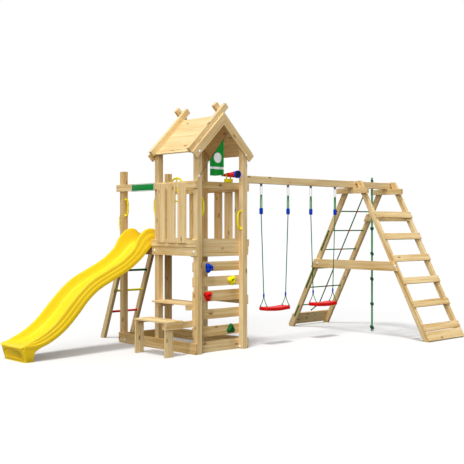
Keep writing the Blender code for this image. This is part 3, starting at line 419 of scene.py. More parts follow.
PLASTICS = {
    Finish.YELLOW: Plastic((0.95, 0.66, 0.02), (0.96, 0.74, 0.09)),
    Finish.LEMON: Plastic((0.95, 0.84, 0.004), (0.96, 0.88, 0.04)),
    Finish.RED: Plastic((0.8, 0.006, 0.005), (0.84, 0.03, 0.02)),
    Finish.BLUE: Plastic((0.001, 0.045, 0.56), (0.01, 0.08, 0.62)),
    Finish.GREEN: Plastic((0.002, 0.11, 0.018), (0.012, 0.15, 0.03)),
    Finish.SIGN: Plastic((0.003, 0.25, 0.04), (0.02, 0.32, 0.06)),
    Finish.WHITE: Plastic((0.88, 0.88, 0.86), (0.76, 0.75, 0.72)),
    Finish.BLACK: Plastic((0.018, 0.018, 0.019), (0.08, 0.08, 0.08), gloss=0.45),
    Finish.STEEL: Plastic((0.36, 0.365, 0.37), (0.28, 0.28, 0.28), gloss=0.3, metal=1.0),
}


@dataclass
class Finishes:
    """Every material of the tower, made once and shared."""

    pale: Colour = (0.95, 0.76, 0.43)
    deep: Colour = (0.6, 0.36, 0.11)
    knot: Colour = (0.27, 0.115, 0.035)
    cloth: tuple[Colour, Colour] = ((0.006, 0.33, 0.035), (0.002, 0.2, 0.02))
    disc: Colour = (0.8, 0.82, 0.8)
    rope_lay: float = 0.034
    # For each rope, the crown colour and the darker colour that is painted into its grooves as painted shade.
    ropes: dict[Finish, tuple[Colour, Colour]] = field(default_factory=lambda: {
        Finish.ROPE: ((0.006, 0.2, 0.035), (0.001, 0.075, 0.012)),
        Finish.TWINE: ((0.115, 0.42, 0.19), (0.03, 0.22, 0.08)),
        # The knots are coloured much darker than the climbing rope as painted shade of their wound turns.
        Finish.KNOT: ((0.006, 0.1, 0.03), (0.001, 0.03, 0.009)),
        Finish.CORD: ((0.06, 0.06, 0.058), (0.02, 0.02, 0.02)),
    })
    groups: dict[type, Tree] = field(default_factory=dict)
    made: dict[Finish, bpy.types.Material] = field(default_factory=dict)

    def prepare(self) -> None:
        """Build the shared node groups."""
        for kind in (PineGroup, SurfaceGroup, StrandGroup, WeaveGroup):
            self.groups[kind] = kind().build()

    def of(self, finish: Finish) -> bpy.types.Material:
        """The material of a finish, made when it is first asked for.

        Args:
            finish: which one.

        Returns:
            The material.
        """
        if finish not in self.made:
            made = self.made[finish] = bpy.data.materials.new(finish.value)
            made.use_nodes = True
            graph = Graph(made.node_tree)
            if finish is Finish.PINE:
                self.pine(graph)
            elif finish in self.ropes:
                self.rope(graph, finish)
            elif finish in (Finish.CLOTH, Finish.WEBBING):
                self.woven(graph, finish)
            else:
                self.plastic(graph, finish)
        return self.made[finish]

    def dress(
        self, graph: Graph, kind: type, inputs: dict[str, object], strength: float, depth: float, gloss: float,
    ) -> tuple[Node, Node]:
        """Place a shared group in a material and feed the shader from it.

        Args:
            graph: the material's graph.
            kind: the group's class.
            inputs: its values and sockets.
            strength: strength of the bump.
            depth: its depth in metres.
            gloss: the shader's specular level.

        Returns:
            The placed group and the shader.
        """
        group = graph.tree.nodes.new("ShaderNodeGroup")
        group.node_tree = self.groups[kind]
        made = graph.fill(group, inputs).outputs
        bump = graph.add("Bump", {"Strength": strength, "Distance": depth, "Height": made["Height"]}).outputs[0]
        shader = graph.tree.nodes["Principled BSDF"]
        graph.fill(shader, {"Base Color": made["Color"], "Roughness": made["Roughness"], "Normal": bump})
        shader.inputs["Specular IOR Level"].default_value = gloss
        return group, shader

    def pine(self, graph: Graph) -> None:
        """Pine for boards that carry their own grain place and tone.

        Args:
            graph: the material's graph.
        """
        place = graph.add("Attribute", attribute_name="grain_place").outputs["Vector"]
        board_tone_and_painted_shade = graph.add("Attribute", attribute_name="board_tone_and_painted_shade").outputs["Fac"]
        inputs = {"Place": place, "Tone and painted shade": board_tone_and_painted_shade, "Pale": self.pale, "Deep": self.deep, "Knot": self.knot}
        self.dress(graph, PineGroup, inputs, 0.35, 0.001, 0.15)

    def plastic(self, graph: Graph, finish: Finish) -> None:
        """A moulded plastic or the bare steel.

        Args:
            graph: the material's graph.
            finish: which one.
        """
        facts = PLASTICS[finish]
        here = graph.add("TexCoord").outputs["Object"]
        inputs = {"Place": here, "Tint": facts.tint, "Dust": facts.dust, "Gloss": facts.gloss, "Spread": facts.spread}
        _, shader = self.dress(graph, SurfaceGroup, inputs, facts.bump, 0.0006, 0.5 if facts.metal else 0.12)
        shader.inputs["Metallic"].default_value = facts.metal

    def rope(self, graph: Graph, finish: Finish) -> None:
        """Laid rope.

        Args:
            graph: the material's graph.
            finish: which colour.
        """
        light, dark = self.ropes[finish]
        strand = graph.add("SeparateXYZ", {0: graph.add("UVMap", uv_map="strand").outputs[0]}).outputs
        inputs = {"Along": strand[0], "Round": strand[1], "Pitch": self.rope_lay, "Light": light, "Dark": dark}
        self.dress(graph, StrandGroup, inputs, 0.7, 0.002, 0.2)

    def woven(self, graph: Graph, finish: Finish) -> None:
        """Green webbing, or the flag's cloth with its plain white disc and band.

        Args:
            graph: the material's graph.
            finish: which one.
        """
        here = graph.add("TexCoord").outputs["Object"]
        inputs = {"Place": here, "Light": self.cloth[0], "Dark": self.cloth[1]}
        group, shader = self.dress(graph, WeaveGroup, inputs, 0.5, 0.0006, 0.2)
        if finish is Finish.CLOTH:
            mask = graph.ramp(graph.add("Attribute", attribute_name="print").outputs["Fac"], 0.45, 0.55)
            graph.fill(shader, {"Base Color": graph.blend(mask, group.outputs["Color"], self.disc)})


def only(*pieces: Body) -> None:
    """Select just these pieces, the first of them active."""
    bpy.ops.object.select_all(action="DESELECT")
    for piece in pieces:
        piece.select_set(True)
    if pieces:
        bpy.context.view_layer.objects.active = pieces[0]


def edit(piece: Body) -> None:
    """Open one piece for editing with all of it selected.

    Args:
        piece: a mesh object.
    """
    only(piece)
    bpy.ops.object.mode_set(mode="EDIT")
    bpy.ops.mesh.select_all(action="SELECT")


def leave() -> None:
    """Close the edited piece."""
    bpy.ops.object.mode_set(mode="OBJECT")


def merge(pieces: Sequence[Body]) -> Body:
    """Join pieces into the first.

    Args:
        pieces: mesh objects at the origin.

    Returns:
        The joined object.
    """
    only(*pieces)
    if len(pieces) > 1:
        bpy.ops.object.join()
    return pieces[0]


def apply_modifiers(piece: Body) -> None:
    """Apply each of a piece's modifiers, from the first on.

    Args:
        piece: a mesh object.
    """
    only(piece)
    for step in list(piece.modifiers):
        bpy.ops.object.modifier_apply(modifier=step.name)


def mesh_piece(name: str, points: Sequence[Sequence[float]], edges: list, faces: list) -> Body:
    """A mesh object from points, edges and faces, linked to the scene.

    Args:
        name: its name.
        points: its corners.
        edges: loose edges.
        faces: its faces.

    Returns:
        The object.
    """
    mesh = bpy.data.meshes.new(name)
    mesh.from_pydata([tuple(point) for point in points], edges, faces)
    made = bpy.data.objects.new(name, mesh)
    bpy.context.scene.collection.objects.link(made)
    return made


def about(middle: float, half: float) -> Span:
    """The span that reaches as far to both sides of a middle."""
    return middle - half, middle + half


def block(x: Span, y: Span, z: Span, edge: float = 0.0, segments: int = 2) -> Body:
    """A squared solid with rounded edges.

    Args:
        x: its span in x.
        y: its span in y.
        z: its span in z.
        edge: radius of its edges.
        segments: faces across each edge.

    Returns:
        The object.
    """
    near, far = (Vector(corner) for corner in zip(x, y, z))
    only()
    bpy.ops.mesh.primitive_cube_add(size=1.0, location=(near + far) / 2, scale=far - near)
    made = bpy.context.object
    bpy.ops.object.transform_apply()
    if edge:
        edit(made)
        bpy.ops.mesh.bevel(offset=edge, segments=segments, affect="EDGES")
        leave()
    return made


def carve(piece: Body, cutter: Body, operation: str = "DIFFERENCE") -> None:
    """Cut one piece from another, or weld it to it, and remove the cutter.

    Args:
        piece: the piece that stays.
        cutter: the one that goes.
        operation: the Boolean's operation.
    """
    step = piece.modifiers.new("carve", "BOOLEAN")
    step.operation = operation
    step.object = cutter
    step.solver = "EXACT"
    apply_modifiers(piece)
    bpy.data.objects.remove(cutter, do_unlink=True)


def turned(profile: Sequence[Span], centre: Point, axis: Axis, steps: int = 32) -> Body:
    """A turned piece, its profile spun round an axis.

    Args:
        profile: radius and place along the axis, from one end to the other.
        centre: where the axis's zero is.
        axis: the direction it is spun round.
        steps: faces round it.

    Returns:
        The object.
    """
    ends = [(0.0, profile[0][1])] if profile[0][0] > 0 else []
    tail = [(0.0, profile[-1][1])] if profile[-1][0] > 0 else []
    points = []
    for radius, along in ends + list(profile) + tail:
        place = Vector()
        place[axis.value], place[0 if axis.value else 1] = along, radius
        points.append(Vector(centre) + place)
    made = mesh_piece("turned", points, [(i, i + 1) for i in range(len(points) - 1)], [])
    edit(made)
    bpy.ops.mesh.spin(steps=steps, angle=2 * math.pi, center=centre, axis=[i == axis.value for i in range(3)])
    bpy.ops.mesh.select_all(action="SELECT")
    bpy.ops.mesh.remove_doubles(threshold=1e-6)
    bpy.ops.mesh.normals_make_consistent(inside=False)
    leave()
    return made


def ring(centre: Point, radius: float, thick: float, axis: Axis, sides: int = 12, steps: int = 40) -> Body:
    """A round wire ring.

    Args:
        centre: its middle.
        radius: from its middle to the middle of the wire.
        thick: radius of the wire.
        axis: the axis it lies round.
        sides: faces round the wire.
        steps: faces round the ring.

    Returns:
        The object.
    """
    turn = {Axis.X: (0, math.pi / 2, 0), Axis.Y: (math.pi / 2, 0, 0), Axis.Z: (0, 0, 0)}[axis]
    only()
    bpy.ops.mesh.primitive_torus_add(
        location=centre, rotation=turn, major_radius=radius, minor_radius=thick,
        major_segments=steps, minor_segments=sides,
    )
    made = bpy.context.object
    bpy.ops.object.transform_apply()
    return made


def smooth_route(points: Sequence[Vector], steps: int) -> list[Vector]:
    """Points on a smooth curve through the given ones.

    Args:
        points: points or wider vectors that the curve passes.
        steps: spans between two of them.

    Returns:
        The finer row of points.
    """
    ends = [2 * points[0] - points[1]] + list(points) + [2 * points[-1] - points[-2]]
    route = []
    for a, b, c, d in zip(ends, ends[1:], ends[2:], ends[3:]):
        for step in range(steps):
            t = step / steps
            bend = (2 * a - 5 * b + 4 * c - d) * t * t + (3 * b - a - 3 * c + d) * t**3
            route.append(0.5 * (2 * b + (c - a) * t + bend))
    return route + [points[-1]]


def straight(start: Vector, end: Vector, steps: int) -> list[Vector]:
    """Points at even steps from one to another."""
    return [start.lerp(end, i / steps) for i in range(steps + 1)]


def set_off(profile: Profile, start: float, sign: float = 1.0) -> Profile:
    """A turned piece's profile, counted from a place on its axis, one way or the other."""
    return tuple((radius, start + sign * along) for radius, along in profile)


def tube_faces(rows: int, sides: int) -> list[tuple[int, ...]]:
    """The faces of a closed skin through rows of points.

    Args:
        rows: how many rows.
        sides: points in each.

    Returns:
        Its four-cornered faces, row after row, and then its two ends.
    """
    faces = []
    last = (rows - 1) * sides
    for start in range(0, last, sides):
        for k in range(sides):
            n = (k + 1) % sides
            faces.append((start + k, start + n, start + sides + n, start + sides + k))
    return faces + [tuple(range(sides))[::-1], tuple(range(last, last + sides))]


def rope(route: Sequence[Vector], radius: float | Sequence[float], sides: int = 10, flat: float = 1.0) -> Body:
    """A rope or strap along a route, with a map of metres along it and turns round it.

    Operators give no tube with such a map, so its faces are laid in code.

    Args:
        route: the points of its centreline.
        radius: its radius, or one for each point.
        sides: faces round it.
        flat: how much wider than thick it is, along y where it can be.

    Returns:
        The object.
    """
    radii = [radius] * len(route) if isinstance(radius, float) else list(radius)
    points, lengths, side = [], [0.0], None
    for i, here in enumerate(route):
        along = (route[min(i + 1, len(route) - 1)] - route[max(i - 1, 0)]).normalized()
        if side is None:
            side = along.orthogonal() if abs(along.y) > 0.9 else Vector((0, 1, 0))
        side = (side - along * side.dot(along)).normalized()
        up = along.cross(side)
        for k in range(sides):
            angle = 2 * math.pi * k / sides
            points.append(here + (side * math.cos(angle) * flat + up * math.sin(angle)) * radii[i])
        if i:
            lengths.append(lengths[-1] + (here - route[i - 1]).length)
    shares = [k / sides for k in range(sides + 1)]
    corners = []
    for near, far in zip(lengths, lengths[1:]):
        for a, b in zip(shares, shares[1:]):
            corners += [(near, a), (near, b), (far, b), (far, a)]
    corners += [(0.0, a) for a in shares[-2::-1]] + [(lengths[-1], a) for a in shares[:-1]]
    made = mesh_piece("rope", points, [], tube_faces(len(route), sides))
    layer = made.data.uv_layers.new(name="strand")
    for loop, corner in zip(layer.data, corners):
        loop.uv = corner
    return made


def loft(rows: Sequence[Sequence[Vector]]) -> Body:
    """A closed skin, which no operator lays in one pass.

    Args:
        rows: rows of the same count of points, one after another.

    Returns:
        The object.
    """
    made = mesh_piece("loft", [point for row in rows for point in row], [], tube_faces(len(rows), len(rows[0])))
    edit(made)
    bpy.ops.mesh.normals_make_consistent(inside=False)
    leave()
    return made


def slope_frame(origin: Point, along: Vector, outward: Vector) -> Matrix:
    """The frame of a board that lies on a slope.

    Args:
        origin: its zero in the tower's frame.
        along: the direction of the board's own x.
        outward: the direction of its own z.

    Returns:
        The matrix from the board's frame to the tower's.
    """
    x, z = along.normalized(), outward.normalized()
    y = z.cross(x)
    return Matrix.Translation(origin) @ Matrix((x, y, z)).transposed().to_4x4()


@dataclass(frozen=True)
class Plank:
    """One sawn board by its spans in its own frame, placed, cut, bored and eased."""

    x: Span
    y: Span
    z: Span
    grain: Axis = Axis.X
    placed: Matrix | None = None
    cuts: Cuts = ()
    notches: tuple[tuple[Span, Span, Span], ...] = ()
    bores: tuple[tuple[Point, float], ...] = ()
    edge: float = 0.0025
    # Shifts the board's tone, darker above zero and paler below. Some boards are set darker as painted shade, some
    # paler as painted light, and others differ only in their own tone.
    tone_and_painted_shade: float = 0.0

    def build(self, seed: int) -> Body:
        """Make the board.

        Args:
            seed: picks its piece of tree.

        Returns:
            The board, standing in the tower's frame.
        """
        placed = self.placed or Matrix.Identity(4)
        board = block(self.x, self.y, self.z)
        board.data.transform(placed)
        edit(board)
        for point, normal in self.cuts:
            bpy.ops.mesh.select_all(action="SELECT")
            bpy.ops.mesh.bisect(plane_co=point, plane_no=normal, use_fill=True, clear_outer=True)
        bpy.ops.mesh.select_all(action="SELECT")
        bpy.ops.mesh.bevel(offset=self.edge, segments=2, affect="EDGES")
        leave()
        for notch in self.notches:
            carve(board, block(*notch))
        for centre, radius in self.bores:
            carve(board, turned([(radius, -0.2), (radius, 0.2)], centre, Axis.Z, 20))
        self.lay_grain(board, placed.inverted(), seed)
        return board

    def lay_grain(self, board: Body, back: Matrix, seed: int) -> None:
        """Write where in its tree each corner of the board was, and the board's tone, which includes any painted shade
        and painted light set for it.

        Args:
            board: the finished board.
            back: from the tower's frame to the board's.
            seed: picks its piece of tree.
        """
        chance = random.Random(seed)
        low, high = zip(self.x, self.y, self.z)
        size = [b - a for a, b in zip(low, high)]
        along = self.grain.value
        wide, thin = sorted((i for i in range(3) if i != along), key=lambda i: -size[i])
        middle = (Vector(low) + Vector(high)) / 2
        shift = Vector((chance.uniform(0, 30), chance.uniform(-0.11, 0.11), chance.uniform(0.03, 0.09)))
        places, mesh = [], board.data
        for vertex in mesh.vertices:
            own = back @ vertex.co - middle
            places += [own[along] + shift.x, own[wide] + shift.y, own[thin] + shift.z]
        mesh.attributes.new("grain_place", "FLOAT_VECTOR", "POINT").data.foreach_set("vector", places)
        board_tone_and_painted_shade = 0.5 + self.tone_and_painted_shade + chance.uniform(-0.32, 0.32)
        mesh.attributes.new("board_tone_and_painted_shade", "FLOAT", "POINT").data.foreach_set("value", [board_tone_and_painted_shade] * len(mesh.vertices))


@dataclass
class Workshop:
    """Where boards are joined, and where finished pieces are handed to the frame."""

    finishes: Finishes
    origin: Vector
    seed: int = 100

    def timber(self, name: str, nodes: Iterable[str], planks: Sequence[Plank]) -> None:
        """Build a set of boards as one piece.

        Args:
            name: the piece's name.
            nodes: the solids it stands for.
            planks: its boards.
        """
        boards = []
        for plank in planks:
            self.seed += 1
            boards.append(plank.build(self.seed))
        self.deliver(merge(boards), name, Finish.PINE, nodes=nodes)

    def deliver(
        self, piece: Body, name: str, finish: Finish, body: str = TOWER,
        nodes: Iterable[str] = (), angle: float | None = None,
    ) -> Body:
        """Name a finished piece, dress it and let it ride.

        Args:
            piece: the piece in the tower's frame.
            name: its name.
            finish: its finish.
            body: the body that it moves with.
            nodes: the solids that it stands for.
            angle: edges flatter than this many degrees are shaded smooth.

        Returns:
            The piece, in the row's frame.
        """
        piece.name = piece.data.name = name
        piece.data.transform(Matrix.Translation(self.origin))
        piece.data.materials.clear()
        piece.data.materials.append(self.finishes.of(finish))
        if angle is not None:
            only(piece)
            bpy.ops.object.shade_smooth_by_angle(angle=math.radians(angle))
        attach(piece, body)
        if nodes:
            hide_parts(*nodes)
        LOG.info("%s: %d faces, rides on %s", name, len(piece.data.polygons), body)
        return piece


def level(z: float, up: float = 1.0) -> tuple[Point, Point]:
    """A cut that takes away all above a height, or with up -1 all below it, as a point and a normal."""
    return (0.0, 0.0, z), (0.0, 0.0, up)


@dataclass
class Posts:
    """Four tall posts cut to the roof slope, and two shorter ones behind."""

    rough_top: float = 2.4
    rear_top: float = 2.11
    # Per row, the front posts are set paler as painted light and the rear posts darker as painted shade.
    rows: tuple[tuple[str, float, float], ...] = (
        ("front", 0, -0.32), ("middle", BAY_Y, 0), ("rear", 2 * BAY_Y, 0.35),
    )

    def build(self, shop: Workshop) -> None:
        """Make the six posts as six pieces."""
        under = ROOF_PEAK_Z - (BOARD + GAP) * ROOT_TWO
        for row, y, tone_and_painted_shade in self.rows:
            roofed = row != "rear"
            top = self.rough_top if roofed else self.rear_top
            for side, x, sign in (("left", 0.0, -1.0), ("right", BAY_X, 1.0)):
                cuts = (((ROOF_MID, 0.0, under), (sign, 0.0, 1.0)),) if roofed else ()
                plank = Plank((x, x + POST), (y, y + POST), (0.0, top), Axis.Z, cuts=cuts, tone_and_painted_shade=tone_and_painted_shade)
                shop.timber(f"timber_post_{row}_{side}", [f"post_{row}_{side}"], [plank])


@dataclass
class Sandbox:
    """The base frame round the sand: two long boards with rounded lower corners and two across."""

    thick: float = 0.02
    tall: float = 0.125
    corner: float = 0.03

    def build(self, shop: Workshop) -> None:
        """Make the four boards as one piece."""
        cuts = []
        for middle, sign in ((self.corner, -1.0), (DEEP - self.corner, 1.0)):
            for degrees in (15, 35, 55, 75):
                lean = math.radians(degrees)
                normal = Vector((0.0, sign * math.cos(lean), -math.sin(lean)))
                point = Vector((0.0, middle, self.corner)) + normal * self.corner
                cuts.append((tuple(point), tuple(normal)))
        planks = []
        # All four boards are set darker as painted shade near the ground, the rear cross board most, for the shade
        # inside the box.
        for x in (-GAP - self.thick, WIDE + GAP):
            across = (x, x + self.thick)
            planks.append(Plank(across, (0.0, DEEP), (0.0, self.tall), Axis.Y, cuts=tuple(cuts), tone_and_painted_shade=0.7))
        for y, tone_and_painted_shade in ((POST + GAP, 0.35), (2 * BAY_Y - GAP - self.thick, 1.2)):
            across = (y, y + self.thick)
            planks.append(Plank((-GAP, WIDE + GAP), across, (0.0, self.tall - 0.001), tone_and_painted_shade=tone_and_painted_shade))
        shop.timber("sandbox_boards", ["sandbox_frame"], planks)


@dataclass
class Deck:
    """Deck boards on two joists, notched round the posts."""

    pitch: float = 0.0985
    wide: float = 0.094
    joist_low: float = 1.095
    notch_z: Span = (1.1, 1.3)

    def build(self, shop: Workshop) -> None:
        """Make boards and joists as one piece."""
        low_z = DECK_Z - BOARD
        start = POST + 2 * GAP + JOIST
        planks = []
        # The joists are set darker as painted shade under the deck.
        for x in (POST + GAP, BAY_X - GAP - JOIST):
            planks.append(Plank((x, x + JOIST), (start, DEEP), (self.joist_low, low_z), Axis.Y, tone_and_painted_shade=0.55))
        y = start
        while y + self.wide < DEEP + self.pitch / 2:
            span = (y, min(y + self.wide, DEEP))
            planks.append(Plank((GAP, WIDE - GAP), span, (low_z, DECK_Z), notches=self.notches(*span)))
            y += self.pitch
        shop.timber("deck_boards", ["deck"], planks)

    def notches(self, low_y: float, high_y: float) -> tuple[tuple[Span, Span, Span], ...]:
        """The notches of one board.

        Args:
            low_y: its front edge.
            high_y: its rear edge.

        Returns:
            The spans of the blocks that are cut from it.
        """
        found = []
        for post_y in (BAY_Y, 2 * BAY_Y):
            if low_y < post_y + POST and high_y > post_y:
                for x in ((-POST, POST + GAP), (BAY_X - GAP, WIDE + POST)):
                    found.append((x, (post_y - GAP, post_y + POST + GAP), self.notch_z))
        return tuple(found)


@dataclass
class FrontBoards:
    """Deck beam and kick board, front handrail, and the five boards of the climbing wall."""

    inner: float = POST + GAP
    beam_low: float = 1.09
    kick_high: float = 1.293
    rail_low: float = 1.87
    wall_thick: float = 0.02
    wall: Profile = ((1.032, 0.923), (0.862, 0.75), (0.702, 0.579), (0.4896, 0.378), (0.294, 0.182))
    side: Span = (0.52, 0.63)

    def build(self, shop: Workshop) -> None:
        """Make each board of the front."""
        x, y = (GAP, WIDE - GAP), self.inner
        beam = Plank(x, (y, y + JOIST), (self.beam_low, DECK_Z), tone_and_painted_shade=0.15)
        kick = Plank(x, (y, y + RAIL), (DECK_Z, self.kick_high), tone_and_painted_shade=0.15)
        shop.timber("front_beam_and_kick_board", ["front_deck_beam"], [beam, kick])
        rail = Plank(x, (y, y + JOIST), (self.rail_low, BEAM_Z))
        shop.timber("front_rail", ["front_handrail"], [rail])
        for number, (high, low) in enumerate(self.wall, 1):
            plank = Plank(x, (y, y + self.wall_thick), (low, high), tone_and_painted_shade=0.25)
            shop.timber(f"wall_board_{number}", [f"climbing_board_{number}"], [plank])
        side = Plank((WIDE + GAP, WIDE + GAP + BOARD), (0.0, BAY_Y + POST), self.side, Axis.Y)
        shop.timber("side_board", ["right_side_board"], [side])


@dataclass
class Railing:
    """Deck beam, kick board, handrail and upright boards of one long side."""

    side: str
    uprights: Profile
    deck_end: float
    rail_low: float = 1.8447
    rail_end: float = 1.53
    beam_low: float = 1.1
    kick_high: float = 1.282
    board_z: Span = (1.245, 1.93)

    def span(self, near: float, far: float) -> Span:
        """The span in x of what lies so far outwards from the posts."""
        return (-GAP - far, -GAP - near) if self.side == "left" else (WIDE + GAP + near, WIDE + GAP + far)

    def build(self, shop: Workshop) -> None:
        """Make the side as one piece."""
        rail, beam, board = self.span(0, RAIL), self.span(0, BOARD), self.span(RAIL, RAIL + BOARD)
        planks = [
            Plank(rail, (0.0, self.rail_end), (self.rail_low, BEAM_Z - GAP), Axis.Y, tone_and_painted_shade=-0.1),
            Plank(beam, (0.0, self.deck_end), (self.beam_low, DECK_Z), Axis.Y, tone_and_painted_shade=0.1),
            Plank(rail, (0.0, self.deck_end), (DECK_Z, self.kick_high), Axis.Y, tone_and_painted_shade=0.05),
        ]
        planks += [Plank(board, y, self.board_z, Axis.Z, tone_and_painted_shade=-0.1) for y in self.uprights]
        shop.timber(f"{self.side}_side_railing", [f"{self.side}_railing"], planks)


@dataclass
class Roof:
    """Two slopes of boards, and at each gable mitred fascia boards and crossed battens."""

    joints: tuple[float, ...] = (0, 0.0955, 0.218, 0.3405, 0.463, 0.5855, 0.62)
    over_ridge: float = 0.02
    fascia_wide: float = 0.097
    fascia_thick: float = 0.022
    fascia_proud: float = 0.02
    fascia_reach: float = 0.4735
    mitre_gap: float = 0.0002
    batten_tall: float = 0.07
    batten_low: float = -0.0775
    batten_ends: Span = (0.475, 0.482)

    def build(self, shop: Workshop) -> None:
        """Make both slopes and both gables."""
        rear = BAY_Y + POST
        for side, sign in (("left", -1.0), ("right", 1.0)):
            placed = slope_frame((ROOF_MID, 0.0, ROOF_PEAK_Z), Vector((sign, 0, -1)), Vector((sign, 0, 1)))
            span = (GAP, rear - GAP) if sign > 0 else (GAP - rear, -GAP)
            ridge = (((ROOF_MID + sign * GAP, 0.0, 0.0), (-sign, 0.0, 0.0)),)
            planks = []
            for number, (top, foot) in enumerate(zip(self.joints, self.joints[1:])):
                down = (top if number else top - self.over_ridge, foot)
                cuts = () if number else ridge
                planks.append(Plank(down, span, (-BOARD, 0.0), Axis.Y, placed, cuts, edge=0.003, tone_and_painted_shade=-0.5))
            shop.timber(f"roof_boards_{side}", [f"roof_slope_{side}"], planks)
        self.gable(shop, "front", (-GAP - self.fascia_thick, -GAP), (0.0, JOIST), (JOIST, 2 * JOIST))
        faces = (rear + GAP, rear + GAP + self.fascia_thick)
        self.gable(shop, "back", faces, (rear - 2 * JOIST, rear - JOIST), (rear - JOIST, rear))

    def gable(self, shop: Workshop, end: str, face: Span, first: Span, second: Span) -> None:
        """One gable.

        Args:
            shop: where it is made.
            end: front or back.
            face: the fascia boards' span in y.
            first: the span of the batten that rises to the right.
            second: the span of the one that rises to the left.
        """
        planks = []
        for sign in (-1.0, 1.0):
            top = (ROOF_MID, 0.0, ROOF_PEAK_Z + self.fascia_proud)
            placed = slope_frame(top, Vector((sign, 0, -1)), Vector((sign, 0, 1)))
            span = face if sign > 0 else (-face[1], -face[0])
            mitre = (((ROOF_MID + sign * self.mitre_gap, 0.0, 0.0), (-sign, 0.0, 0.0)),)
            down = (-0.1, self.fascia_reach * ROOT_TWO)
            planks.append(Plank(down, span, (-self.fascia_wide, 0.0), Axis.X, placed, mitre))
        lift = ROOF_PEAK_Z - ROOF_MID + GAP * ROOT_TWO
        rises = ((1.0, 0.0, first, self.batten_ends[0]), (-1.0, WIDE, second, self.batten_ends[1]))
        for sign, start_x, y, end_x in rises:
            placed = slope_frame((start_x, 0.0, lift), Vector((sign, 0, 1)), Vector((-sign, 0, 1)))
            span = y if sign > 0 else (-y[1], -y[0])
            up = (self.batten_low * ROOT_TWO, end_x * ROOT_TWO)
            planks.append(Plank(up, span, (0.0, self.batten_tall), Axis.X, placed, tone_and_painted_shade=0.05))
        shop.timber(f"gable_boards_{end}", [f"gable_{end}"], planks)


@dataclass
class TableAndBench:
    """Table top round the middle post, and the bench that is tied to the front post."""

    top_z: Span = (0.55, 0.57)
    top_y: Span = (0.0753, BAY_Y - GAP)
    top_boards: Profile = ((-0.1, -GAP), (GAP, 0.099), (0.1005, 0.2))
    bearer_low: float = 0.4956
    bearer_end: float = 0.195
    bearers: Profile = ((-0.078, POST + GAP), (-0.01, BAY_Y - GAP - JOIST))
    seat_z: Span = (0.375, 0.396)
    seat_y: Span = (0.024, 0.606)
    seat_boards: Profile = ((-0.424, -0.3045), (-0.3035, -0.184))
    frame: tuple[tuple[Axis, Span, Span, float], ...] = (
        (Axis.X, (-0.423, -0.185), (0.025, 0.047), 0.302), (Axis.Z, (-0.418, -0.304), (0.047, POST + GAP), 0),
        (Axis.Z, (-0.418, -0.304), (0.583, 0.605), 0),
        (Axis.X, (-0.41, 0.14), (POST + GAP, POST + GAP + JOIST), 0.304), (Axis.X, (-0.41, -0.2), (0.56, 0.583), 0.345),
    )

    def build(self, shop: Workshop) -> None:
        """Make the table and the bench: boards first, and what carries them after."""
        planks = self.boards(self.top_boards, self.top_y, self.top_z, -0.25)
        for x, y in self.bearers:
            planks.append(Plank((x, self.bearer_end), (y, y + JOIST), (self.bearer_low, self.top_z[0])))
        shop.timber("table", ["picnic_table"], planks)
        planks = self.boards(self.seat_boards, self.seat_y, self.seat_z, -0.2)
        planks += [Plank(x, y, (low, self.seat_z[0]), grain) for grain, x, y, low in self.frame]
        shop.timber("bench_boards", ["bench"], planks)

    def boards(self, across: Profile, along: Span, up: Span, tone_and_painted_shade: float) -> list[Plank]:
        """Boards that lie side by side, by their spans across, along and up."""
        return [Plank(span, along, up, Axis.Y, tone_and_painted_shade=tone_and_painted_shade) for span in across]


@dataclass
class RearLadder:
    """Two leaning rails cut plumb against the tower, and three round coloured rungs."""

    slope: float = 0.39
    foot_y: float = 1.97
    thick: float = 0.07
    top: float = 1.28
    grip: float = 0.0145
    groove: float = 0.0007
    ends: Span = (0.098, 0.532)
    grooved: Span = (0.11, 0.41)
    rails: Profile = ((0.065, 0.11), (0.52, 0.565))
    rungs: tuple[tuple[Finish, float], ...] = ((Finish.RED, 0.34), (Finish.LEMON, 0.615), (Finish.GREEN, 0.875))

    def build(self, shop: Workshop) -> None:
        """Make rails and rungs."""
        up = Vector((0.0, -self.slope, 1.0)).normalized()
        out = Vector((0.0, 1.0, self.slope)).normalized()
        face = DEEP + 2 * GAP
        cuts = (level(self.top), level(0.0, -1.0), ((0.0, face, 0.0), (0.0, -1.0, 0.0)))
        for side, (low_x, high_x) in zip(("left", "right"), self.rails):
            placed = slope_frame(((low_x + high_x) / 2, self.foot_y, 0.0), up, out)
            half = about(0.0, (high_x - low_x) / 2)
            plank = Plank((-0.1, 1.5), half, about(0.0, self.thick / 2), Axis.X, placed, cuts)
            shop.timber(f"rear_ladder_rail_{side}", [f"ladder_rail_{side}"], [plank])
        for finish, z in self.rungs:
            colour = finish.slot.split("_")[0]
            start, long = self.grooved
            grooves = [(self.grip - self.groove * (i % 2), start + long * i / 40) for i in range(41)]
            profile = [(self.grip, self.ends[0]), *grooves, (self.grip, self.ends[1])]
            made = turned(profile, (0.0, self.foot_y - self.slope * z, z), Axis.X, 28)
            shop.deliver(made, f"grip_rung_{colour}", finish, nodes=[f"rung_{colour}"], angle=40)


def leg_line(z: float, side: float, outer: bool) -> float:
    """The y of a leg's inner or outer edge at a height, on the tread side, -1, or the net side, 1."""
    lean = BEAM_MID_Y + GAP + LEG_SLOPE * (LEG_TOP_Z - z) + (LEG_WIDE if outer else 0.0)
    return BEAM_MID_Y + side * lean


def net_y(z: float) -> float:
    """The y of the net's plane, in the middle of its legs."""
    return (leg_line(z, 1, False) + leg_line(z, 1, True)) / 2


def leg_ways(side: float) -> tuple[Vector, Vector]:
    """The way up a leg and the way out of its outer face, on the tread side, -1, or the net side, 1."""
    cosine, sine = math.cos(LEG_TILT), math.sin(LEG_TILT)
    return Vector((0, -side * sine, cosine)), Vector((0, side * cosine, sine))


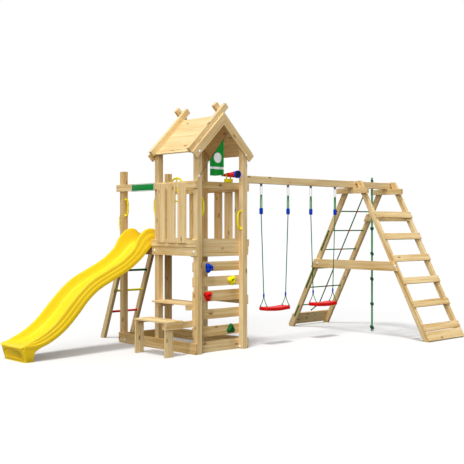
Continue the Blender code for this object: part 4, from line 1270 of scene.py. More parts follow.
@dataclass
class ClimbingFrame:
    """Step ladder, net legs, head pieces, cross bars and the net side's base board."""

    step_mids: tuple[float, ...] = (1.58, 1.297, 1.016, 0.735, 0.452, 0.165)
    step_half: float = 0.04
    tread_base: Span = (0.006, 0.1165)
    net_base: Span = (0.02, 0.183)
    board: float = 0.02
    leg_long: float = 2.4
    head_y: Span = (-0.225, 0.295)
    head_low: float = 1.87
    bar_rough: float = 1.2
    bar_setback: float = 0.006
    bars: tuple[tuple[str, float, Span], ...] = (
        ("left", FRAME_LEFT_X, (0.862, 0.98)), ("right", FRAME_RIGHT_X - LEG_THICK, (1.5, 1.605)),
    )

    def leg(self, side: float, low_x: float) -> Plank:
        """One leg.

        Args:
            side: -1 on the tread side, 1 on the net side.
            low_x: its left face.

        Returns:
            Its plank.
        """
        half = LEG_THICK / 2
        placed = slope_frame((low_x + half, leg_line(0, side, True), 0.0), *leg_ways(side))
        deep = (-LEG_WIDE * math.cos(LEG_TILT), 0.0)
        cuts = (level(LEG_TOP_Z), level(0.0, -1.0))
        return Plank((-0.1, self.leg_long), about(0.0, half), deep, Axis.X, placed, cuts)

    def face_board(self, side: float, edges: Span, lift: float = 0.0) -> Plank:
        """A board on the outer face of the legs.

        Args:
            side: -1 on the tread side, 1 on the net side.
            edges: heights of its lower and its upper edge.
            lift: gap between the legs and the board.

        Returns:
            Its plank, with its own x across the frame.
        """
        up, out = leg_ways(side)
        middle = ((FRAME_LEFT_X + FRAME_RIGHT_X) / 2, leg_line(edges[0], side, True), edges[0])
        rise = (edges[1] - edges[0]) / math.cos(LEG_TILT)
        across = about(0.0, (FRAME_RIGHT_X - FRAME_LEFT_X) / 2)
        placed = slope_frame(middle, up.cross(out), out)
        return Plank(across, (0.0, rise), (lift, lift + self.board), Axis.X, placed, tone_and_painted_shade=-0.12)

    def build(self, shop: Workshop) -> None:
        """Make every timber of the frame."""
        planks = [self.leg(-1, low_x) for _, low_x, _ in self.bars]
        treads = [(z - self.step_half, z + self.step_half) for z in self.step_mids]
        planks += [self.face_board(-1, edges) for edges in (*treads, self.tread_base)]
        shop.timber("step_ladder_timber", ["step_ladder"], planks)
        shop.timber("net_foot_board", ["net_base_board"], [self.face_board(1, self.net_base, GAP)])
        for side, low_x, up in self.bars:
            shop.timber(f"net_side_leg_{side}", [f"net_leg_{side}"], [self.leg(1, low_x)])
            x = (low_x - GAP - LEG_THICK, low_x - GAP)
            head = Plank(x, self.head_y, (self.head_low, BEAM_Z - GAP), Axis.Y)
            shop.timber(f"head_board_{side}", [f"head_piece_{side}"], [head])
            ends = []
            for sign in (-1, 1):
                point = (0.0, leg_line(up[0], sign, True) - sign * self.bar_setback, up[0])
                ends.append((point, tuple(leg_ways(sign)[1])))
            bar = Plank(x, about(0.0, self.bar_rough), up, Axis.Y, cuts=tuple(ends))
            shop.timber(f"cross_board_{side}", [f"cross_bar_{side}"], [bar])


@dataclass
class WaveSlide:
    """The moulded slide: a lofted shell with rolled rims and stepped outer walls, and its foot block."""

    mid_y: float = 1.0375
    half: float = 0.2175
    foot_lean: float = 0.022
    lip_x: float = -1.65
    steps: int = 7
    on_deck: tuple[Span, Span, Span] = ((0, 0.42), (0.6, 1.5), (0.7, DECK_Z + GAP))
    foot_corner: float = 0.035
    foot_front: Span = (-1.696, -0.285)
    recess_mid: float = 0.076
    recess_steps: Profile = ((-0.1, 1.0), (0.006, 1.0), (0.012, 0.955))
    stations: Rows = (
        (0.17, 1.245, 0.07, 0.2175), (0.085, 1.245, 0.125, 0.2175), (0.01, 1.24, 0.175, 0.2175),
        (-0.07, 1.196, 0.163, 0.2205), (-0.191, 1.085, 0.122, 0.2265), (-0.378, 0.957, 0.106, 0.232),
        (-0.585, 0.855, 0.102, 0.2335), (-0.79, 0.75, 0.106, 0.234), (-0.94, 0.632, 0.108, 0.236),
        (-1.08, 0.48, 0.117, 0.238), (-1.218, 0.348, 0.108, 0.2395), (-1.354, 0.254, 0.094, 0.24),
        (-1.49, 0.191, 0.081, 0.24), (-1.61, 0.172, 0.05, 0.2395), (-1.672, 0.174, 0.022, 0.2395),
        (-1.71, 0.176, 0.01, 0.2395), (-1.732, 0.167, 0.004, 0.234), (-1.742, 0.152, 0.002, 0.227),
    )
    inner: Profile = (
        (0, 0), (0.05, 0), (0.095, 0), (0.112, 0.004), (0.126, 0.018), (0.138, 0.055), (0.147, 0.12),
        (0.154, 0.22), (0.16, 0.4), (0.165, 0.6), (0.1685, 0.78), (0.1715, 0.9), (0.1745, 0.97), (0.179, 1.0),
        (0.187, 1.004), (0.195, 1.0), (0.2, 0.97), (0.203, 0.9), (0.2042, 0.74), (0.205, 0.58), (0.2085, 0.545),
        (0.2112, 0.51), (0.2117, 0.34), (0.212, 0.17), (0.2145, 0.12), (0.2172, 0.075),
    )
    outer: Profile = (
        (0.2175, 0), (0.2175, -0.032), (0.2165, -0.036), (0.2, -0.036), (0.198, -0.033), (0.192, -0.014),
        (0.1, -0.014), (0.04, -0.014),
    )
    foot: Rows = (
        (0, -1.7, 0.225, -1.604), (0.004, -1.697, 0.2288, -1.6), (0.06, -1.714, 0.235, -1.598),
        (0.095, -1.723, 0.237, -1.59), (0.118, -1.73, 0.238, -1.565), (0.136, -1.733, 0.2385, -1.53),
        (0.155, -1.733, 0.237, -1.49),
    )
    recess: Profile = (
        (-0.176, 0.028), (0.176, 0.028), (0.184, 0.09), (0.168, 0.11), (0.134, 0.124), (0.068, 0.132), (0, 0.135),
        (-0.068, 0.132), (-0.134, 0.124), (-0.168, 0.11), (-0.184, 0.09),
    )

    def section(self, wall: float, half: float) -> list[Span]:
        """The whole outline across one station.

        Args:
            wall: height of the side walls.
            half: half the width.

        Returns:
            Places across and up, all the way round.
        """
        right = [(a, up * wall) for a, up in self.inner] + list(self.outer)
        share = half / self.half
        left = [(-a, up) for a, up in right[::-1] if a > 0]
        return [(a * share, up) for a, up in right + left]

    def build(self, shop: Workshop) -> None:
        """Make the slide as one piece."""
        row = smooth_route([Vector(each) for each in self.stations], self.steps)
        rows = []
        for i, station in enumerate(row):
            along = row[min(i + 1, len(row) - 1)] - row[max(i - 1, 0)]
            normal = Vector((along.y, 0, -along.x)).normalized()
            lean = max(station.w - self.half, self.foot_lean if station.x < self.lip_x else 0.0)
            base = Vector((station.x, self.mid_y - lean, station.y))
            rows.append([base + Vector((0, a, 0)) + normal * up for a, up in self.section(station.z, station.w)])
        shell = loft(rows)
        carve(shell, self.foot_block(), "UNION")
        carve(shell, block(*self.on_deck))
        carve(shell, self.recess_cutter())
        shop.deliver(shell, "wave_slide", Finish.YELLOW, nodes=["slide"], angle=38)

    def foot_block(self) -> Body:
        """The block under the lip.

        Returns:
            The object, narrower at the ground, with rounded upright corners.
        """
        rows, corner, middle = [], self.foot_corner, self.mid_y - self.foot_lean
        for z, front, half, rear in self.foot:
            points = [Vector((rear, middle - half, z)), Vector((rear, middle + half, z))]
            for start, sign in ((90, 1.0), (180, -1.0)):
                for turn in range(0, 91, 15):
                    angle = math.radians(start + turn)
                    x = front + corner + corner * math.cos(angle)
                    y = sign * (half - corner) + corner * math.sin(angle)
                    points.append(Vector((x, middle + y, z)))
            rows.append(points)
        return loft(rows)

    def recess_cutter(self) -> Body:
        """What is cut from the front of the foot.

        Returns:
            The object, bare and arched.
        """
        rows = []
        for depth, shrink in self.recess_steps:
            points = []
            for y, z in self.recess:
                high = self.recess_mid + (z - self.recess_mid) * shrink
                x = self.foot_front[0] + self.foot_front[1] * high + depth
                points.append(Vector((x, self.mid_y - self.foot_lean + y * shrink, high)))
            rows.append(points)
        return loft(rows)


@dataclass
class Holds:
    """Four three-lobed grips on the climbing wall, each with its bolt."""

    size: float = 0.053
    sides: int = 48
    lobe: float = 0.17
    lobe_rise: float = 0.05
    lobe_depth: float = 0.04
    places: tuple[tuple[Finish, float, float, float], ...] = (
        (Finish.BLUE, 0.222, 0.963, 0.1), (Finish.LEMON, 0.575, 0.808, 0.85), (Finish.RED, 0.206, 0.645, 0.52),
        (Finish.GREEN, 0.56, 0.244, 1.57),
    )
    layers: Profile = (
        (0, 0.86), (0.01, 1.0), (0.026, 0.92), (0.04, 0.66), (0.045, 0.4), (0.036, 0.25), (0.024, 0.24),
    )
    bolt: Profile = (
        (0, 0.032), (0.004, 0.032), (0.0044, 0.0355), (0.0095, 0.0355), (0.0108, 0.0345), (0.0108, 0.022),
    )

    def build(self, shop: Workshop) -> None:
        """Make each grip, and the bolts as one piece."""
        bolts = []
        for finish, x, z, turn in self.places:
            colour = finish.slot.split("_")[0]
            grip = self.grip(x, z, turn)
            shop.deliver(grip, f"grip_hold_{colour}", finish, nodes=[f"hold_{colour}"], angle=60)
            bolts.append(turned(set_off(self.bolt, POST, -1.0), (x, 0.0, z), Axis.Y, 18))
        shop.deliver(merge(bolts), "hold_bolts", Finish.BLACK, angle=35)

    def grip(self, x: float, z: float, turn: float) -> Body:
        """One grip.

        Args:
            x: its middle across the wall.
            z: its height.
            turn: where its first lobe points.

        Returns:
            The object.
        """
        rows = []
        for layer in smooth_route([Vector((depth, grow, 0)) for depth, grow in self.layers], 4):
            lobe = self.lobe + self.lobe_rise * min(1.0, layer.x / self.lobe_depth)
            row = []
            for k in range(self.sides):
                angle = 2 * math.pi * k / self.sides
                reach = self.size * layer.y * (1 + lobe * math.cos(3 * (angle - turn)))
                row.append(Vector((x + reach * math.cos(angle), POST - layer.x, z + reach * math.sin(angle))))
            rows.append(row)
        return loft(rows)


@dataclass
class Handles:
    """Five bowed grab handles with round feet, one beside each way in."""

    thick: float = 0.0115
    feet: Span = (-0.102, 0.102)
    bow: Profile = (
        (-0.102, 0.004), (-0.098, 0.024), (-0.078, 0.04), (-0.04, 0.049), (0, 0.051), (0.04, 0.049), (0.078, 0.04),
        (0.098, 0.024), (0.102, 0.004),
    )
    disc: Profile = (
        (0.0178, 0), (0.0185, 0.001), (0.0185, 0.005), (0.0172, 0.0068), (0.015, 0.0085), (0.0128, 0.0125),
    )
    places: tuple[tuple[str, Point, Point], ...] = (
        ("slide_rear", (0.035, 1.4097, 1.666), (0, -1, 0)), ("ladder", (0.035, 1.4803, 1.48), (0, 1, 0)),
        ("slide_front", (0.035, 0.7753, 1.67), (0, 1, 0)), ("wall_left", (0.0703, 0.035, 1.66), (1, 0, 0)),
        ("wall_right", (0.6997, 0.035, 1.508), (-1, 0, 0)),
    )

    def build(self, shop: Workshop) -> None:
        """Make each handle."""
        for name, place, normal in self.places:
            out = Vector(normal)
            points = [Vector(place) + Vector((0, 0, along)) + out * stand for along, stand in self.bow]
            parts = [rope(smooth_route(points, 5), self.thick, 16)]
            disc = set_off(self.disc, 0.0, out.x + out.y)
            for along in self.feet:
                centre = tuple(Vector(place) + Vector((0, 0, along)))
                parts.append(turned(disc, centre, Axis.X if out.x else Axis.Y, 28))
            shop.deliver(merge(parts), f"grab_{name}", Finish.LEMON, nodes=[f"handle_{name}"], angle=45)


@dataclass
class SteeringWheel:
    """A three-spoked wheel on its hub and axle, with studs on the back of its rim."""

    centre: Point = (0.69, 1.217, 1.9)
    rim: float = 0.147
    rim_thick: float = 0.0125
    spoke: Profile = ((0, 0.015), (-0.006, 0.06), (0, 0.147))
    spoke_thick: Span = (0.0085, 0.003)
    studs: int = 20
    stud: Profile = ((0.0048, -0.013), (0.004, -0.0142))
    stud_back: float = -0.0015
    hub: Profile = (
        (0.01, -0.0265), (0.014, -0.026), (0.026, -0.0225), (0.0305, -0.018), (0.0335, -0.004), (0.034, 0.006),
        (0.03, 0.012), (0.02, 0.017), (0.02, 0.08),
    )

    def build(self, shop: Workshop) -> None:
        """Make rim, spokes and hub as one piece."""
        centre = Vector(self.centre)
        parts = [ring(self.centre, self.rim, self.rim_thick, Axis.X, 14, 72), turned(self.hub, self.centre, Axis.X, 36)]
        for number in range(3):
            angle = math.radians(90 + 120 * number)
            reach = Vector((0, math.cos(angle), math.sin(angle)))
            route = smooth_route([centre + reach * out + Vector((dish, 0, 0)) for dish, out in self.spoke], 8)
            thin, more = self.spoke_thick
            radii = [thin + more * abs(2 * i / (len(route) - 1) - 1) ** 2 for i in range(len(route))]
            parts.append(rope(route, radii, 14))
        for number in range(self.studs):
            angle = 2 * math.pi * number / self.studs
            place = centre + Vector((self.stud_back, math.cos(angle), math.sin(angle))) * self.rim
            parts.append(turned(self.stud, tuple(place), Axis.X, 10))
        shop.deliver(merge(parts), "helm", Finish.LEMON, "steering_wheel", ["steering_wheel"], 40)


@dataclass
class Telescope:
    """A toy telescope: the fork that turns on the front rail, and the tube that tips in it."""

    x: float = 0.555
    y: float = POST + GAP + JOIST / 2
    tilt_z: float = 2.034
    foot: Profile = ((0.021, 0), (0.021, 0.002), (0.02, 0.006))
    yoke: Point = (0.052, 0.021, 1.988)
    cheek_x: Span = (0.0285, 0.0335)
    cheek_z: Span = (1.98, 2.03)
    cheek_half: float = 0.01
    cheek_round: float = 0.0105
    pin: Profile = ((0.0048, -0.0345), (0.005, -0.034), (0.005, 0.034), (0.0048, 0.0345))
    tube: Profile = (
        (0.0375, -0.15), (0.0405, -0.15), (0.0405, -0.142), (0.04, -0.138), (0.0315, -0.062), (0.029, -0.056),
        (0.0265, -0.052), (0.0256, -0.02), (0.025, 0.016), (0.024, 0.021), (0.019, 0.026), (0.018, 0.04),
        (0.0165, 0.07), (0.0155, 0.074), (0.012, 0.076), (0.0108, 0.086), (0.0105, 0.1), (0.0128, 0.103),
        (0.013, 0.108), (0.009, 0.108), (0.008, 0.104), (0, 0.104),
    )
    bore: Profile = ((0, 0.008), (0.018, 0.008), (0.0255, -0.06), (0.037, -0.15))
    hood: Profile = (
        (0.0375, -0.138), (0.0425, -0.138), (0.044, -0.141), (0.044, -0.168), (0.043, -0.172), (0.04, -0.172),
        (0.0388, -0.17), (0.0375, -0.138),
    )
    lens: Profile = ((0, -0.164), (0.014, -0.163), (0.028, -0.16), (0.0378, -0.156))

    def build(self, shop: Workshop) -> None:
        """Make fork, tube, hood and lens."""
        x, y = self.x, self.y
        shop.deliver(self.fork(), "telescope_fork", Finish.LEMON, "telescope_base", ["telescope_base"], 35)
        centre = (x, y, self.tilt_z)
        body = merge([turned([*self.bore, *self.tube], centre, Axis.Y, 40), turned(self.pin, centre, Axis.X, 20)])
        shop.deliver(body, "telescope_barrel", Finish.RED, "telescope_tube", ["telescope_tube"], 30)
        hood = turned(self.hood, centre, Axis.Y, 40)
        shop.deliver(hood, "telescope_hood", Finish.BLUE, "telescope_tube", angle=30)
        lens = turned(self.lens, centre, Axis.Y, 36)
        shop.deliver(lens, "telescope_lens", Finish.BLACK, "telescope_tube", angle=60)

    def fork(self) -> Body:
        """The part that turns.

        Returns:
            The round foot, the yoke block and its two round-topped cheeks.
        """
        x, y, low = self.x, self.y, BEAM_Z + GAP
        half_x, half_y, top = self.yoke
        parts = [turned(set_off(self.foot, low), (x, y, 0.0), Axis.Z, 32)]
        parts.append(block(about(x, half_x), about(y, half_y), (low + self.foot[1][1], top), 0.004, 3))
        for sign in (-1, 1):
            cheek = tuple(sorted(x + sign * side for side in self.cheek_x))
            parts.append(block(cheek, about(y, self.cheek_half), self.cheek_z, 0.0015))
            ends = [(self.cheek_round, side - x) for side in cheek]
            parts.append(turned(ends, (x, y, self.cheek_z[1]), Axis.X, 32))
        return merge(parts)


@dataclass
class Flag:
    """A plain flag on a cord that runs from the front left post up to the gable."""

    hoist: tuple[Point, Point] = ((0.18, -0.0035, 2.182), (0.392, -0.0035, 2.436))
    foot: tuple[Point, Point] = ((0.18, -0.0035, 2.006), (0.392, -0.0035, 2.018))
    cord_x: Span = (0.034, 0.461)
    columns: int = 56
    rows: int = 72
    disc: Point = (0.3, 2.215, 0.058)
    band: Span = (2.085, 2.112)
    print_blur: float = 0.006
    thick: float = 0.0012
    cord_thick: float = 0.0025

    def place(self, u: float, v: float) -> Vector:
        """A point of the cloth.

        Args:
            u: from the low end of the cord, 0, to its high end, 1.
            v: from the cord, 0, to the lower edge, 1.

        Returns:
            Its place, with the folds that fall from the cord.
        """
        top = Vector(self.hoist[0]).lerp(Vector(self.hoist[1]), u)
        low = Vector(self.foot[0]).lerp(Vector(self.foot[1]), u)
        here = top.lerp(low, v)
        fall = v * (1.15 - 0.3 * v)
        fold = math.sin(2 * math.pi * (1.6 * u + 0.22 * v) + 0.8) + 0.35 * math.sin(2 * math.pi * (3.4 * u - 0.3 * v))
        here.y -= 0.0045 * fall * (1.1 + fold)
        here.x += 0.0022 * fall * math.cos(2 * math.pi * 1.6 * u) * (1 - u) * u * 4
        here.z += 0.002 * v * math.sin(2 * math.pi * 1.6 * u + 0.4)
        return here

    def build(self, shop: Workshop) -> None:
        only()
        bpy.ops.mesh.primitive_grid_add(x_subdivisions=self.columns, y_subdivisions=self.rows, size=1.0)
        cloth = bpy.context.object
        marks = []
        for vertex in cloth.data.vertices:
            vertex.co = self.place(vertex.co.x + 0.5, 0.5 - vertex.co.y)
            x, z = vertex.co.x, vertex.co.z
            away = math.hypot(x - self.disc[0], z - self.disc[1])
            in_disc = 0.5 + (self.disc[2] - away) / self.print_blur
            in_band = 0.5 + min(z - self.band[0], self.band[1] - z) / self.print_blur
            marks.append(max(0.0, min(1.0, max(in_disc, in_band))))
        cloth.data.attributes.new("print", "FLOAT", "POINT").data.foreach_set("value", marks)
        wall = cloth.modifiers.new("cloth", "SOLIDIFY")
        wall.thickness, wall.offset = self.thick, 0.0
        apply_modifiers(cloth)
        shop.deliver(cloth, "flag_cloth", Finish.CLOTH, nodes=["flag"], angle=80)
        low, high = Vector(self.hoist[0]), Vector(self.hoist[1])
        rise = (high - low) / (high.x - low.x)
        ends = [low + rise * (x - low.x) for x in self.cord_x]
        cord = rope(straight(*ends, 24), self.cord_thick, 10)
        shop.deliver(cord, "flag_line", Finish.CORD, nodes=["flag"], angle=60)


@dataclass
class SwingBeam:
    """The square beam to the climbing frame, with its hole for the rope, and its four hanger brackets."""

    end_x: float = 3.6
    tall: float = 0.086
    rope_x: float = 3.16
    rope_hole: float = 0.0158
    axis_z: float = 1.925
    hangers: tuple[float, ...] = (1.034, 1.5, 1.918, 2.386)
    plate_half: float = 0.013
    plate_y: Span = (0.01, 0.06)
    plate_low: float = BEAM_Z - 0.004
    cheek_x: float = 0.0085
    cheek_half: Span = (0.002, 0.01)
    cheek_low: float = 1.922
    eye: Span = (0.0098, 1.9228)
    pin: Profile = ((0.004, -0.01), (0.004, 0.01))
    nut: Profile = ((0.0065, 0.0105), (0.0075, 0.0115), (0.0075, 0.0145), (0.006, 0.0155))
    screw: Profile = ((0.0055, 0), (0.0045, -0.0022), (0, -0.0028))
    screw_y: float = 0.0175

    def build(self, shop: Workshop) -> None:
        """Make beam and brackets."""
        hole = ((self.rope_x, BEAM_MID_Y, BEAM_Z + 0.05), self.rope_hole)
        up = (BEAM_Z, BEAM_Z + self.tall)
        beam = Plank((WIDE + GAP, self.end_x), (0.0, POST), up, Axis.X, bores=(hole,), tone_and_painted_shade=-0.25)
        shop.timber("swing_beam_timber", ["swing_beam"], [beam])
        parts = [part for x in self.hangers for part in self.bracket(x)]
        shop.deliver(merge(parts), "hanger_brackets", Finish.STEEL, nodes=["swing_beam"], angle=35)

    def bracket(self, x: float) -> list[Body]:
        """The plate, cheeks, nuts, screws and pin of one bracket.

        Args:
            x: its middle along the beam.

        Returns:
            Its parts.
        """
        (thin, wide), (radius, eye_z) = self.cheek_half, self.eye
        low, mid = self.plate_low, BEAM_MID_Y
        parts = [block(about(x, self.plate_half), self.plate_y, (low, BEAM_Z), 0.0015)]
        for sign in (-1, 1):
            cheek = about(x + sign * self.cheek_x, thin)
            parts.append(block(cheek, about(mid, wide), (self.cheek_low, low), 0.001))
            parts.append(turned([(radius, side) for side in cheek], (0.0, mid, eye_z), Axis.X, 28))
            parts.append(turned(set_off(self.nut, x, sign), (0.0, mid, self.axis_z), Axis.X, 6))
            parts.append(turned(self.screw, (x, mid + sign * self.screw_y, low), Axis.Z, 14))
        return [*parts, turned(set_off(self.pin, x), (0.0, mid, self.axis_z), Axis.X, 18)]


@dataclass
class Swing:
    """One swing: seat, and on each side ring, sling, adjuster, rope, clip and V rope."""

    name: str
    xs: Span
    inset: float = 0.044
    axis_z: float = 1.925
    ring_drop: float = 0.007
    ring_size: Span = (0.0155, 0.003)
    link_drop: float = 0.096
    sling_z: Span = (1.62, 1.8125)
    sling_straight: float = 1.72
    sling_half: Span = (0.0095, 0.0125)
    adjuster: Point = (0.021, 0.013, 0.0375)
    adjuster_z: float = 1.6175
    ribs: tuple[float, ...] = (1.6, 1.6175, 1.635)
    rib: Point = (0.0215, 0.0135, 0.003)
    clip: Profile = (
        (0.0062, 0.628), (0.0078, 0.627), (0.0102, 0.616), (0.0105, 0.612), (0.0105, 0.59), (0.0098, 0.585),
        (0.0085, 0.578), (0.0062, 0.573), (0.0052, 0.572),
    )
    clip_ring: Point = (0.608, 0.0104, 0.0008)
    rope_z: Span = (1.59, 0.592)
    rope_thick: float = 0.0056
    vee: Profile = ((0, 0.584), (0.027, 0.52))
    vee_foot: Span = (0.058, 0.003)
    vee_thick: float = 0.0046
    knot: Profile = ((0.004, 0), (0.0068, 0.002), (0.0072, 0.007), (0.006, 0.013), (0.0034, 0.016))
    seat_top: float = 0.463
    seat_long: float = 0.416
    seat_wide: float = 0.15
    seat_thick: float = 0.0425
    seat_corner: float = 0.028
    seat_dish: float = -0.0085

    def build(self, shop: Workshop) -> None:
        """Make both sides and the seat."""
        makers = (
            ("ring", Finish.STEEL, self.link, 60), ("sling", Finish.WEBBING, self.sling, 60),
            ("adjuster_and_clip", Finish.BLUE, self.adjuster_and_clip, 35), ("ropes", Finish.ROPE, self.ropes, 60),
        )
        for side, top_x, sign in (("left", self.xs[0], 1), ("right", self.xs[1], -1)):
            for label, finish, make, angle in makers:
                made = make(top_x, top_x + sign * self.inset)
                nodes = [f"{self.name}_rope_{side}"]
                shop.deliver(made, f"{self.name}_{side}_{label}", finish, self.name, nodes, angle)
        self.build_seat(shop)

    def link(self, top_x: float, _: float) -> Body:
        """The long ring that hangs on the pin.

        Args:
            top_x: the pin's place.

        Returns:
            The object.
        """
        middle = self.axis_z - self.ring_drop
        made = ring((top_x, BEAM_MID_Y, middle), *self.ring_size, Axis.X)
        for vertex in made.data.vertices:
            vertex.co.z -= self.link_drop if vertex.co.z < middle else 0.0
        return made

    def sling(self, top_x: float, _: float) -> Body:
        """The webbing that goes up from the adjuster, through the ring and down again.

        Args:
            top_x: the ring's place.

        Returns:
            The object.
        """
        (half, spread), (low, top) = self.sling_half, self.sling_z
        sides = [(-spread, low), (-spread, self.sling_straight)]
        turns = [(-half * math.cos(a * math.pi / 8), top - half + half * math.sin(a * math.pi / 8)) for a in range(9)]
        ends = [(spread, self.sling_straight), (spread, low)]
        return rope([Vector((top_x + x, BEAM_MID_Y, z)) for x, z in sides + turns + ends], 0.0019, 12, 4.6)

    def adjuster_and_clip(self, top_x: float, low_x: float) -> Body:
        """The ribbed block that sets the rope's length, and the clip over the seat.

        Args:
            top_x: the block's place.
            low_x: the clip's place.

        Returns:
            The object.
        """
        blocks = ((self.adjuster_z, self.adjuster, 0.006, 3), *((z, self.rib, 0.001, 2) for z in self.ribs))
        parts = [
            block(about(top_x, half[0]), about(BEAM_MID_Y, half[1]), about(z, half[2]), edge, segments)
            for z, half, edge, segments in blocks
        ]
        parts.append(turned(self.clip, (low_x, BEAM_MID_Y, 0.0), Axis.Z, 24))
        z, radius, thick = self.clip_ring
        return merge([*parts, ring((low_x, BEAM_MID_Y, z), radius, thick, Axis.Z, 6, 24)])

    def ropes(self, top_x: float, low_x: float) -> Body:
        """The long rope, the V rope under the clip, and the knots on the seat.

        Args:
            top_x: the long rope's upper end.
            low_x: its lower end.

        Returns:
            The object.
        """
        y, seat_z = BEAM_MID_Y, self.seat_top + GAP
        ends = Vector((top_x, y, self.rope_z[0])), Vector((low_x, y, self.rope_z[1]))
        lines = [rope(straight(*ends, 40), self.rope_thick, 10)]
        out, over = self.vee_foot
        for sign in (-1, 1):
            points = [Vector((low_x, y + sign * away, z)) for away, z in (*self.vee, (out, seat_z + over))]
            lines.append(rope(smooth_route(points, 8), self.vee_thick, 10))
            points = [Vector((low_x, y + sign * out, seat_z + up)) for _, up in self.knot]
            lines.append(rope(points, [radius for radius, _ in self.knot], 12))
        return merge(lines)

    def build_seat(self, shop: Workshop) -> None:
        """The moulded seat: rounded corners, and a dished top with a raised rim."""
        mid_x, half = sum(self.xs) / 2, self.seat_long / 2
        across = about(BEAM_MID_Y, self.seat_wide / 2)
        seat = block(about(mid_x, half), across, (self.seat_top - self.seat_thick, self.seat_top))
        edit(seat)
        bpy.ops.mesh.select_mode(type="EDGE")
        bpy.ops.mesh.select_all(action="DESELECT")
        leave()
        for line in seat.data.edges:
            a, b = (seat.data.vertices[i].co for i in line.vertices)
            line.select = abs(a.z - b.z) > 0.01
        bpy.ops.object.mode_set(mode="EDIT")
        bpy.ops.mesh.bevel(offset=self.seat_corner, segments=6, affect="EDGES")
        for step in range(1, 24):
            bpy.ops.mesh.select_all(action="SELECT")
            place = (mid_x - half + 2 * half * step / 24, 0, 0)
            bpy.ops.mesh.bisect(plane_co=place, plane_no=(1, 0, 0))
        leave()
        for face in seat.data.polygons:
            face.select = face.normal.z > 0.9
        bpy.ops.object.mode_set(mode="EDIT")
        bpy.ops.mesh.select_mode(type="FACE")
        bpy.ops.mesh.inset(thickness=0.01, use_even_offset=True)
        bpy.ops.mesh.inset(thickness=0.003, depth=-0.003, use_even_offset=True)
        bpy.ops.mesh.select_mode(type="VERT")
        leave()
        for vertex in seat.data.vertices:
            s = (vertex.co.x - mid_x) / half
            lift = self.seat_dish * math.cos(math.pi * s / 2) ** 2
            under = (self.seat_top - vertex.co.z) / self.seat_thick
            vertex.co.z += lift + under * self.seat_thick * 0.04 * abs(s) ** 6
        soft = seat.modifiers.new("soft", "BEVEL")
        soft.width, soft.segments, soft.limit_method, soft.angle_limit = 0.0042, 3, "ANGLE", math.radians(50)
        apply_modifiers(seat)
        shop.deliver(seat, f"{self.name}_moulded_seat", Finish.RED, self.name, [f"{self.name}_seat"], 45)


